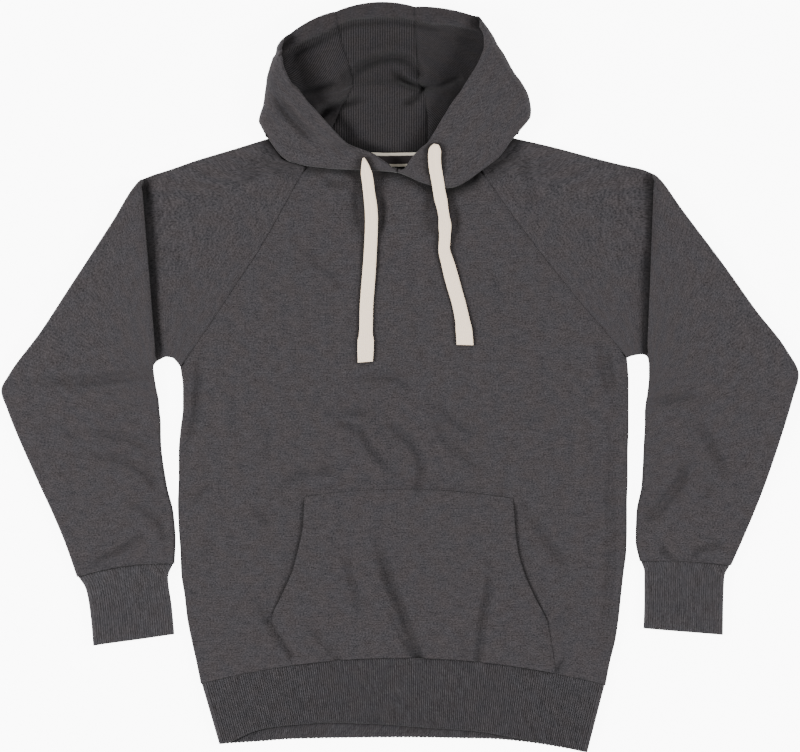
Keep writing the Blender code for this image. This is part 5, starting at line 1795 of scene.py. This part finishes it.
@dataclass
class Hood:
    """Hood of two sides and a centre strip, open towards the viewer and turned down at the back."""

    fabrics: Fabrics
    step: float = 2.8
    casing_columns: int = 10
    flap_columns: int = 42
    turns: int = 14
    base_columns: int = 34
    center_columns: int = 34
    casing_width: float = 20.0
    fold_radius: float = 10.0
    lip: tuple[float, float] = (8.0, 15.8)
    lip_rounds: int = 260
    edge_rounds: int = 10
    least_wall: float = 1.2
    casing_share: float = 0.15
    cloths: tuple[bpy.types.Material, ...] = field(init=False)
    places: Array = field(init=False)
    flap_at: Array = field(init=False)
    base_at: Array = field(init=False)
    angles: Array = field(init=False)

    def __post_init__(self) -> None:
        """Keep the cloths, and place the columns and the rows that the panels share."""
        self.cloths = (self.fabrics.jersey, self.fabrics.inside, self.fabrics.casing)
        hem = np.linspace(0, self.casing_share, self.casing_columns + 1)[:-1]
        self.flap_at = np.append(hem, np.linspace(self.casing_share, 1, self.flap_columns + 1)[:-1])
        self.base_at = graded(self.base_columns, start=False)[1:]
        self.angles = np.linspace(math.pi / 2, -math.pi / 2, self.turns + 1)
        tables = [np.array(HOOD_ROWS[side.value], float) for side in Side]
        moved = np.maximum.reduce([
            np.hypot(np.diff(t[:, i]), np.diff(t[:, i + 1])) + 0.5 * np.abs(np.diff(t[:, TOP]))
            for t in tables for i in (RIM, SEAM)
        ])
        counts = np.maximum(2, np.ceil(moved / self.step)).astype(int)
        runs = [row + np.arange(count) / count for row, count in enumerate(counts)]
        self.places = np.concatenate([*runs, [len(counts)]])

    def rows(self, side: Side) -> Array:
        """The side's table at every row."""
        table = np.array(HOOD_ROWS[side.value], float)
        return flow(np.arange(len(table)), table, self.places)

    def neck_front(self, side: Side, shares: Array) -> Array:
        """Front half of the neck seam: along the neckline, then over the sleeve.

        Args:
            side: which side.
            shares: where along it, from the middle to the shoulder.

        Returns:
            The x and y there.
        """
        corner = NECKLINE[0] if side is Side.LEFT else NECKLINE[-1]
        rim_x = HOOD_ROWS[side.value][0][RIM]
        x = rim_x + (corner[0] - rim_x) * np.minimum(shares / FLAP_TURN, 1)
        legs = np.array([corner, FRONT_NECK_SIDE[side.value], SHOULDER_NECK[side.value]], float)
        marks = (FLAP_TURN, (1 + FLAP_TURN) / 2, 1.0)
        over = np.stack([np.interp(shares, marks, legs[:, k]) for k in (0, 1)], axis=-1)
        along = np.stack([x, Line(NECKLINE).y_at(x)], axis=-1)
        return np.where((shares <= FLAP_TURN)[:, None], along, over)

    def neck_back(self, side: Side, shares: Array) -> Array:
        """Back of the neck seam, from the shoulder to the centre strip.

        Args:
            side: which side.
            shares: where along it.

        Returns:
            The x and y there.
        """
        row = HOOD_ROWS[side.value][0]
        key = side.value
        legs = np.array([SHOULDER_NECK[key], BACK_NECK_SIDE[key], BACK_RAGLAN[key][-1], row[SEAM:TOP]], float)
        return np.stack([np.interp(shares, (0, 0.4, 0.75, 1.0), legs[:, k]) for k in (0, 1)], axis=-1)

    def inside(self, x: Array, y: Array) -> Array:
        """Relief of the hood's inside, with the turned casing along the crown.

        Args:
            x: x of the points.
            y: y of the points.

        Returns:
            Height at each point.
        """
        away, _ = Line(CROWN_CASING).away(x, y)
        casing = 2.2 * ease(away / 2.4 + 0.5) - 3.2 * mound(away + 4.0, 4.4)
        return casing + rumple(x, y, Pattern.HOOD_INSIDE, 1.7) + folded(x, y, HOOD_INSIDE_CREASES)

    def lining(self, inner: Array) -> Array:
        """Slot of each inner face, with the turned casing along the crown in its own, whose jersey is painted
        darker as the shade inside the hood.

        Args:
            inner: points of the inner side.

        Returns:
            The slots.
        """
        middle = sum(corners(inner)) / 4
        away, _ = Line(CROWN_CASING).away(middle[..., 0], middle[..., 1])
        return np.where((away > 0) & (middle[..., 1] > CASING_FOOT), 2, 1).ravel()

    def off_seams(self) -> Array:
        """1 at every row, but eased to 0 at the neck and at the rim."""
        return (ease(self.places / 1.2) * ease((self.places[-1] - self.places) / 0.8))[:, None]

    def groove(self, beside: Array) -> Array:
        """Depth of the seam between a side and the centre strip, at distances from it."""
        return 1.1 * mound(beside, 2.0)

    def soften(self, levels: Array) -> Array:
        """Turn the step where the hood folds back on itself into a soft one.

        Args:
            levels: heights of the rows.

        Returns:
            The softened heights.
        """
        first, last = self.lip
        share = ease(1 - np.abs(self.places - (first + last) / 2) / (last - first) * 1.2)[:, None] ** 0.5
        for _ in range(self.lip_rounds):
            above = np.vstack([levels[:1], levels[:-1]])
            below = np.vstack([levels[1:], levels[-1:]])
            levels = levels + share * 0.5 * ((above + below) / 2 - levels)
        return levels

    def ways(self, side: Side, row: Array) -> tuple[Array, Array, float]:
        """Ways from the outer edge of a row into the flap and into the base.

        Args:
            side: which side.
            row: the side's table at the row.

        Returns:
            Both ways in plan, and the radius of the fold between them.
        """
        rim, edge, seam, droop = row[RIM:RIM_Z], row[EDGE:EDGE_Z], row[SEAM:TOP], row[DROOP]
        shoulder = np.array(SHOULDER_NECK[side.value], float)
        ways = []
        for end, corner in ((rim, FRONT_NECK_SIDE), (seam, BACK_NECK_SIDE)):
            straight, sewn = unit(end - edge), unit(np.array(corner[side.value], float) - shoulder)
            ways.append(unit(straight + (sewn - straight) * droop))
        length = float(np.linalg.norm(rim - edge))
        return *ways, min(self.fold_radius, (row[EDGE_Z] - row[FOOT]) / 2, 0.45 * length)

    def section(self, side: Side, rows: Array, number: int) -> tuple[Array, ...]:
        """One row of a side: the flap from the rim, the fold at its edge and the layers under it.

        Args:
            side: which side.
            rows: the side's table at every row.
            number: which row.

        Returns:
            Points of the outer side, inner points of the fold, height of the layers at each column of
            the base, and distance of each column of the flap from the rim.
        """
        row, neck, base_at = rows[number], rows[0], self.base_at
        rim, edge, seam, droop = row[RIM:RIM_Z], row[EDGE:EDGE_Z], row[SEAM:TOP], row[DROOP]
        flap_way, base_way, radius = self.ways(side, row)
        length = float(np.linalg.norm(rim - edge))
        inset = min(CLOTH.casing / 2 / length, 0.12)
        share = inset + (1 - inset) * self.flap_at
        placed = share * (1 - radius / length)
        fall = neck[RIM:RIM_Z] + (neck[EDGE:EDGE_Z] - neck[RIM:RIM_Z]) * placed[:, None]
        fall = self.neck_front(side, share) - fall
        over = row[OVER] * np.sin(math.pi * np.minimum(1, share * 1.1)) ** 0.5
        xy = rim + (edge - rim) * placed[:, None] + fall * droop
        xy = xy + np.column_stack([side.sign * 0.6 * over, -0.8 * over])
        flap = np.column_stack([xy, row[RIM_Z] + (row[EDGE_Z] - row[RIM_Z]) * share])
        middle, rise = (row[EDGE_Z] + row[FOOT]) / 2, (row[EDGE_Z] - row[FOOT]) / 2
        cosine, sine = np.cos(self.angles)[:, None], np.sin(self.angles)
        way = np.where(self.angles[:, None] > 0, flap_way, base_way)
        turn = np.column_stack([edge + way * radius * (1 - cosine), middle + rise * sine])
        wall = CLOTH.jersey if number < len(rows) - 1 else CLOTH.casing
        inner_radius = max(radius - wall, 0.4)
        xy = edge + way * (radius - inner_radius * cosine)
        inner_turn = np.column_stack([xy, middle + (rise - wall) * sine])
        _, neck_way, neck_radius = self.ways(side, neck)
        start = neck[EDGE:EDGE_Z] + neck_way * neck_radius
        fall = self.neck_back(side, base_at) - (start + (neck[SEAM:TOP] - start) * base_at[:, None])
        start = turn[-1, :2]
        xy = start + (seam - start) * base_at[:, None] + fall * droop
        xy[:, 1] -= row[SAG] * arch(base_at)
        base = np.column_stack([xy, row[FOOT] + (row[LIFT] - row[FOOT]) * base_at])
        base[-1, 0] += side.sign * CLOTH.gap / 2
        last = ease(self.places[number] - self.places[-1] + 1.0)
        layered = CLOTH.jersey + (row[TOP] - row[LIFT] - CLOTH.jersey) * ease(base_at * 1.3)
        layered = layered + (CLOTH.casing - layered) * last
        return np.concatenate([flap, turn, base]), inner_turn, layered, share * length

    def side_panel(self, side: Side) -> bpy.types.Object:
        """Build one side.

        Args:
            side: which side.

        Returns:
            The object.
        """
        key, sign, rows = side.value, side.sign, self.rows(side)
        sections = [self.section(side, rows, number) for number in range(len(rows))]
        outer, inner_folds, walls, spans = (np.stack(parts) for parts in zip(*sections))
        folds = slice(len(self.flap_at), len(self.flap_at) + len(self.angles))
        outer[0, :, 1] += CLOTH.neck_gap
        ways_out = normals(outer, sign)
        across = np.gradient(outer[0], axis=0)
        forced = unit(sign * np.cross(across, (0.0, 0.0, 1.0))) + np.array([0.0, 0.0, 0.3])
        near_neck = ease((rows[:, DROOP] - 0.9) / 0.1)[:, None, None]
        ways_out = unit(ways_out + (unit(forced) - ways_out) * near_neck)
        flap = slice(0, folds.start)
        x, y = outer[:, flap, 0], outer[:, flap, 1]
        lengths = spans[:, -1:]
        hold = ease((lengths - spans) / 12) * ease(self.places / 1.6)[:, None]
        relief = (rumple(x, y, Pattern.FLAP, 0.9) + folded(x, y, FLAP_CREASES[key])) * hold * ease(spans / 14)
        hem = spans - self.casing_width
        raised = 0.15 * (1 - ease((hem + 2) / 3)) - 0.12 * mound(hem, 1.7)
        relief += raised * ease(self.places / 1.5)[:, None]
        outer[:, flap] += ways_out[:, flap] * relief[..., None]
        flap_wall = CLOTH.jersey + (CLOTH.casing - CLOTH.jersey) * (1 - ease((hem + 1) / 3))
        near = slice(folds.start - 9, folds.start + 5)
        left_of, right_of = slice(near.start - 1, near.stop - 1), slice(near.start + 1, near.stop + 1)
        for _ in range(self.edge_rounds):
            outer[:, near] += 0.5 * ((outer[:, left_of] + outer[:, right_of]) / 2 - outer[:, near])
        inner = outer.copy()
        inner[:, flap] -= ways_out[:, flap] * flap_wall[..., None]
        inner[:, folds] = inner_folds
        flared, half = rows[:, DROOP] > 0.85, slice(folds.start, folds.start + len(self.angles) // 2 + 1)
        inner[flared, half] = outer[flared, half] - ways_out[flared, half] * CLOTH.jersey
        inner[0, folds, 1] += CLOTH.neck_gap
        base = slice(folds.stop, outer.shape[1])
        inner[:, base, 2] = self.soften(inner[:, base, 2] + walls)
        x, y = inner[:, base, 0], inner[:, base, 1]
        beside = np.linalg.norm(inner[:, base, :2] - inner[:, -1:, :2], axis=-1)
        hold = ease(self.base_at / 0.25)[None] * self.off_seams()
        inner[:, base, 2] += self.inside(x, y) * hold - self.groove(beside)
        inner[:, base, 2] = np.maximum(inner[:, base, 2], outer[:, base, 2] + self.least_wall)
        wales = np.cumsum(np.linalg.norm(np.diff(outer, axis=1, prepend=outer[:, :1]), axis=2), axis=1)
        rise = np.linalg.norm(np.diff(outer, axis=0, prepend=outer[:1]), axis=2).mean(axis=1)
        return panel(
            f"hood_{key}_side", outer, inner, cloth_map(wales, np.cumsum(rise)[:, None]), self.cloths,
            bulge=(0.0, 0.0, 1.0, 1.0), steps=6, lining=self.lining(inner),
        )

    def center(self) -> bpy.types.Object:
        """Build the centre strip, from the back neck up to the rim over the crown.

        Returns:
            The object.
        """
        left, right = self.rows(Side.LEFT), self.rows(Side.RIGHT)
        bows = flow(np.arange(len(CENTER_BOWS)), np.array(CENTER_BOWS, float)[:, None], self.places)
        share = graded(self.center_columns)[None]
        gap = CLOTH.gap

        def between(column: int) -> Array:
            """Column of the tables, from the left side's to the right side's."""
            return left[:, column, None] * (1 - share) + right[:, column, None] * share

        start, end = left[:, SEAM, None], right[:, SEAM, None]
        x = start + gap / 2 + (end - start - gap) * share
        y = between(SEAM_Y) + bows * arch(share)
        drop = Line(BACK_NECKLINE).y_at(x[0]) + gap - y[0]
        y = y + drop * (1 - ease(self.places / 1.2))[:, None]
        lift, top = between(LIFT), between(TOP)
        flat = (left[:, LIFT, None] == 0) & (top > CLOTH.jersey)
        top = top + np.where(flat, 1.5 * arch(share) * np.clip((top - CLOTH.jersey) / 4, 0, 1), 0)
        beside = np.minimum(x - x[:, :1], x[:, -1:] - x)
        top = self.soften(top) + self.inside(x, y) * self.off_seams() - self.groove(beside)
        top = np.maximum(top, lift + self.least_wall)
        outer, inner = np.stack([x, y, lift], axis=-1), np.stack([x, y, top], axis=-1)
        rise = np.linalg.norm(np.diff(inner, axis=0, prepend=inner[:1]), axis=2).mean(axis=1)
        return panel(
            "hood_center_strip", outer, inner, cloth_map(x, np.cumsum(rise)[:, None]), self.cloths,
            bulge=(0.0, 0.0, 1.0, 0.0), steps=6, lining=self.lining(inner),
        )

    def build(self) -> list[bpy.types.Object]:
        """Build the three panels, hang them from the root and hide the nodes that they replace.

        Returns:
            The three objects.
        """
        sides = [self.side_panel(side) for side in Side]
        strip = self.center()
        for side, piece in zip(Side, sides):
            cut = Cut(0.25, 0.19, 0.028) if side is Side.LEFT else Cut(0.27, 0.21, 0.038)
            finish_sheet(piece, f"hood_{side.value}", cut)
        finish_sheet(strip, "hood_center", Cut(0.11, 0.22, 0.0205))
        return [*sides, strip]


@dataclass
class NeckTape:
    """Tape over the back neck seam."""

    fabrics: Fabrics
    below: float = 8.5
    above: float = 7.5
    levels: tuple = ((0.0, 0.53, 1.0), ((2.5,), (3.2,), (6.1,)))
    columns: int = 60
    rows: int = 13

    def build(self) -> bpy.types.Object:
        """Build the tape, hang it from the root and hide the node that it replaces.

        Returns:
            The object.
        """
        line = Line(BACK_NECKLINE).part(np.linspace(1 / 18, 17 / 18, self.columns))
        at = np.linspace(0, 1, self.rows)
        level = flow(*self.levels, at)
        width = self.below + self.above
        x = np.broadcast_to(line[:, 0], (len(at), self.columns))
        y = line[:, 1] - self.below + width * at[:, None]
        under = np.stack([x, y, np.broadcast_to(level, x.shape)], axis=-1)
        over = under + np.array([0.0, 0.0, CLOTH.tape])
        over[..., 2] += 0.075 * np.sin(x / 7.0)
        piece = panel(
            "neck_tape_twill", over, under, cloth_map(x, at[:, None] * width),
            (self.fabrics.tape, self.fabrics.tape), bulge=(1.0,) * 4,
        )
        finish_sheet(piece, "neck_tape", Cut(0.158, 0.018, 0.0026))
        return piece


# Drawcords


# Places along each cord from its eyelet, and its width there
CORD_WIDTHS = {
    "left": (
        (0, 2.2), (4, 5.5), (12, 10.4), (22, 13.6), (46, 14), (60, 15), (115, 15.2), (145, 15.8), (205, 15.8),
        (214, 16.6), (221, 19.4), (232, 19.4), (240, 18.4), (250, 18),
    ),
    "right": (
        (0, 6), (2.5, 10), (6, 14), (10, 15.2), (30, 15), (55, 14.6), (68, 15), (80, 13.2), (88, 13),
        (100, 15.2), (112, 13.6), (124, 13.4), (136, 14.6), (150, 16), (165, 16.8), (190, 16.2), (205, 16.6),
        (218, 17.4), (228, 19.6), (250, 20),
    ),
}


@dataclass
class Drawcord:
    """Flat cord out of its eyelet in the hood, down over the front, with a plain cut end."""

    side: Side
    fabrics: Fabrics
    thickness: float = 2.6
    step: float = 2.4
    columns: int = 12
    diameter: float = 16.5

    def widths(self, lengths: Array) -> Array:
        """Width of the cord at lengths from the eyelet."""
        at, wide = np.array(CORD_WIDTHS[self.side.value], float).T
        return flow(at, wide[:, None], lengths)[:, 0]

    def build(self) -> bpy.types.Object:
        """Build the cord, hang it from the root, hide the node that it replaces and log its length.

        Returns:
            The object.
        """
        route = np.array(CORD_ROUTES[self.side.value], float)
        line = Line(route)
        lengths = line.length * np.linspace(0, 1, round(line.length / self.step) + 1)
        path = line.at(lengths)
        forward = unit(np.gradient(path, axis=0))
        across = unit(np.cross(forward, (0.0, 0.0, 1.0)))
        up = np.cross(across, forward)
        width = self.widths(lengths)
        end = line.length - lengths
        half_ring = np.linspace(-1, 1, self.columns + 1)
        across_it = np.concatenate([half_ring, half_ring[::-1]])
        sides = np.repeat([1.0, -1.0], self.columns + 1)
        round_edge = np.sqrt(1 - 0.96 * np.abs(across_it) ** 5)
        groove = 0.9 * mound(lengths, 95)[:, None] * np.where(sides > 0, mound(across_it - 0.1, 0.22), 0)
        seam = (0.45 * mound(end - 11, 1.6) + 0.9 * mound(end, 1.5))[:, None]
        tilt = 0.2 * np.sin(lengths / 23 + self.side.sign)[:, None]
        high = (self.thickness / 2 - 0.4 * seam) * round_edge * sides - groove + tilt * across_it
        reach = width[:, None] / 2 * across_it
        rings = path[:, None] + across[:, None] * reach[..., None] + up[:, None] * high[..., None]
        slant = forward[-1] * (self.side.sign * -0.1 * across_it * width[-1] / 2)[:, None]
        rings[-3:] += slant * np.array([0.3, 0.6, 1.0])[:, None, None]
        shell = Shell()
        numbers = shell.add(rings)
        maps = cloth_map(width[:, None] * np.append(across_it, -1.0) / 2, lengths[:, None])
        shell.skin(numbers, maps, 0, closed=True)
        half = self.columns + 1
        for ring, place in ((numbers[0], maps[0]), (numbers[-1], maps[-1])):
            lid = np.stack([ring[:half], ring[half:][::-1]])
            shell.skin(lid, np.stack([place[:half], place[half:-1][::-1]]))
        piece = shell.build(f"drawcord_{self.side.value}_cord", (self.fabrics.cord,))
        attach(piece, "root")
        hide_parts(f"drawcord_{self.side.value}")
        log.info("%s: %.0f mm long", piece.name, line.length)
        return piece


# Stitching


def stitch_tree() -> bpy.types.GeometryNodeTree:
    """Geometry nodes that lay short thread stitches along every edge of a mesh of lines.

    Returns:
        The tree, with the inputs Geometry, Spacing, Length, Radius and Material.
    """
    tree, given = start_tree("stitch_run", ("Spacing", "Length", "Radius"))
    curve = node(tree, "GeometryNodeMeshToCurve", {"Mesh": given.outputs["Geometry"]})
    spacing = {"Curve": curve, "Length": given.outputs["Spacing"]}
    spaced = node(tree, "GeometryNodeResampleCurve", spacing, mode="LENGTH")
    bead = node(tree, "GeometryNodeMeshUVSphere", {"Segments": 6, "Rings": 4, "Radius": 1.0})
    soft = node(tree, "GeometryNodeSetShadeSmooth", {0: bead.outputs["Mesh"]})
    along = node(tree, "GeometryNodeInputTangent")
    turned = node(tree, "FunctionNodeAlignRotationToVector", {"Vector": along}, axis="X")
    half = node(tree, "ShaderNodeMath", {0: given.outputs["Length"], 1: 0.5}, operation="MULTIPLY")
    radius = given.outputs["Radius"]
    size = node(tree, "ShaderNodeCombineXYZ", {0: half, 1: radius, 2: radius})
    beads = {"Points": spaced, "Instance": soft, "Rotation": turned, "Scale": size}
    end_tree(tree, given, node(tree, "GeometryNodeInstanceOnPoints", beads))
    return tree


@dataclass(frozen=True)
class Run:
    """Line of stitches along a curve in plan."""

    points: Points
    off: float

    def plan(self) -> Array:
        """Points of the line, moved to the left of its way.

        Returns:
            Their x and y.
        """
        line = Line(self.points)
        points = line.part(np.linspace(0, 1, max(2, round(line.length / 1.5))))[:, :2]
        along = unit(np.gradient(points, axis=0))
        return points + np.column_stack([-along[:, 1], along[:, 0]]) * self.off


POCKET_TOP = (
    (-113, -143), (-90, -138.5), (-60, -135), (-20, -133.5), (25, -133), (60, -136), (100, -138), (135, -140),
)
NECK_ARC_LEFT = ((-73, 236.4), (-62, 233.6), (-50, 231.8), (-34, 231.2), (-18, 231.6))
NECK_ARC_RIGHT = ((-26, 231.6), (-12, 233), (2, 236), (14, 234.8), (30, 223.4))
POCKET_SIDE_LEFT = ((-158, -295), (-142, -318), (-131, -331))
POCKET_SIDE_RIGHT = ((181, -298), (190, -318), (196, -332))


@dataclass
class Stitching:
    """Rows of stitches, settled on the pieces below them."""

    fabrics: Fabrics
    tree: bpy.types.GeometryNodeTree
    under: list[bpy.types.Object]
    sink: float = 0.12
    cloth: BVHTree = field(init=False)

    def __post_init__(self) -> None:
        """Prepare to look down on the cloth."""
        verts, faces = [], []
        for piece in self.under:
            mesh = piece.data
            start = sum(len(v) for v in verts)
            flat = np.empty(len(mesh.vertices) * 3, np.float32)
            mesh.vertices.foreach_get("co", flat)
            verts.append(flat.reshape(-1, 3))
            faces += [[start + i for i in face.vertices] for face in mesh.polygons]
        self.cloth = BVHTree.FromPolygons(np.concatenate(verts).tolist(), faces)

    def top(self, x: float, y: float) -> float:
        """Height of the uppermost cloth at a plan point, in millimetres."""
        hit = self.cloth.ray_cast((x * MM, y * MM, 0.2), (0, 0, -1))[0]
        return 0.0 if hit is None else hit.z / MM

    def sew(self, name: str, runs: list[Array], spacing: float, length: float, radius: float) -> None:
        """Sew lines of stitches into the jersey.

        Args:
            name: the piece's name.
            runs: plan points of each line.
            spacing: from one stitch to the next.
            length: of a stitch.
            radius: of the thread.
        """
        verts, edges = [], []
        for run in runs:
            start = len(verts)
            verts += [(x * MM, y * MM, (self.top(x, y) - self.sink) * MM) for x, y in run]
            edges += [(start + i, start + i + 1) for i in range(len(run) - 1)]
        mesh = bpy.data.meshes.new(name)
        mesh.from_pydata(verts, edges, [])
        piece = add_object(name, mesh)
        sizes = {"Spacing": spacing * MM, "Length": length * MM, "Radius": radius * MM}
        apply_tree(piece, self.tree, {**sizes, "Material": self.fabrics.thread})
        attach(piece, "root")
        log.info("%s: %d faces", name, len(piece.data.polygons))

    def build(self) -> None:
        """Sew the raglan seams, the twin arcs below the neckline and the pocket's edges."""
        seams = [Run(FRONT_RAGLAN[side.value], off).plan()[3:-3] for side in Side for off in (-2.6, 2.6)]
        self.sew("raglan_cover_stitch", seams, 2.9, 2.1, 0.22)
        arcs = [Run(line, off).plan() for line in (NECK_ARC_LEFT, NECK_ARC_RIGHT) for off in (0.0, 4.2)]
        self.sew("neckline_twin_stitch", arcs, 2.7, 2.0, 0.28)
        rows = ((POCKET_TOP, -1.6), (POCKET_TOP, -5.4), (POCKET_SIDE_LEFT, 1.6), (POCKET_SIDE_RIGHT, -1.6))
        self.sew("pocket_edge_stitch", [Run(line, off).plan() for line, off in rows], 2.8, 2.1, 0.24)


# Studio


@dataclass
class Studio:
    """White table, soft light from all over and a camera far above it."""

    height: float = 12.0
    lens: float = 450.0
    centre: tuple[float, float] = (0.0006, 0.0012)
    sky: float = 0.32
    left: float = 202.0
    right: float = 159.0
    top: float = 8.0
    backdrop: float = 8.0

    def camera(self) -> None:
        """Look straight down."""
        data = bpy.data.cameras.new("camera_overhead")
        data.lens, data.sensor_width = self.lens, 36.0
        data.clip_start, data.clip_end = 1.0, 50.0
        camera = add_object("camera_overhead", data)
        camera.location = (*self.centre, self.height)
        bpy.context.scene.camera = camera

    def lamp(self, name: str, place: tuple[float, float, float], size: float, power: float) -> None:
        """Square lamp that faces the garment.

        Args:
            name: the lamp's name.
            place: where it is, in metres.
            size: length of its sides, in metres.
            power: in watts.
        """
        data = bpy.data.lights.new(name, "AREA")
        data.size, data.energy = size, power
        lamp = add_object(name, data)
        lamp.location = place
        lamp.rotation_euler = (-Vector(place)).to_track_quat("-Z", "Y").to_euler()

    def build(self) -> None:
        """Add the table, the lamps and the sky."""
        mesh = bpy.data.meshes.new("table_top")
        ends = ((-6, -6), (6, -6), (6, 6), (-6, 6))
        mesh.from_pydata([(*end, -0.0004) for end in ends], [], [(0, 1, 2, 3)])
        table = add_object("table_top", mesh)
        white, tree, shader = new_material(
            "white_table", Base_Color=(0.95, 0.95, 0.95, 1.0), Roughness=1.0, Emission_Color=(1.0,) * 4
        )
        seen = node(tree, "ShaderNodeLightPath").outputs["Is Camera Ray"]
        glow = node(tree, "ShaderNodeMath", {0: seen, 1: self.backdrop, 2: 0.6}, operation="MULTIPLY_ADD")
        tree.links.new(glow.outputs[0], shader.inputs["Emission Strength"])
        mesh.materials.append(white)
        self.lamp("softbox_left", (-3.2, -0.3, 2.0), 1.3, self.left)
        self.lamp("softbox_right", (3.2, -0.3, 2.0), 1.3, self.right)
        self.lamp("softbox_top", (-0.3, 3.2, 2.6), 1.6, self.top)
        world = bpy.data.worlds.new("studio")
        world.use_nodes = True
        sky = world.node_tree.nodes["Background"]
        sky.inputs["Color"].default_value = (1.0, 1.0, 1.0, 1.0)
        sky.inputs["Strength"].default_value = self.sky
        bpy.context.scene.world = world


def main() -> None:
    """Build the whole scene."""
    logging.basicConfig(level=logging.INFO, format="%(message)s")
    studio = Studio()
    studio.camera()
    fabrics = make_fabrics()
    for side in Side:
        Drawcord(side, fabrics).build()
    pieces = Body(fabrics).build()
    pieces += [Sleeve(side, fabrics).build() for side in Side]
    ribs = rib_tree()
    pieces += [Cuff(fabrics, ribs, 34, side=side).build() for side in Side]
    pieces.append(HemBand(fabrics, ribs, 184).build())
    pieces += Hood(fabrics).build()
    pieces.append(NeckTape(fabrics).build())
    Stitching(fabrics, stitch_tree(), pieces).build()
    studio.build()


if __name__ == "__main__":
    main()
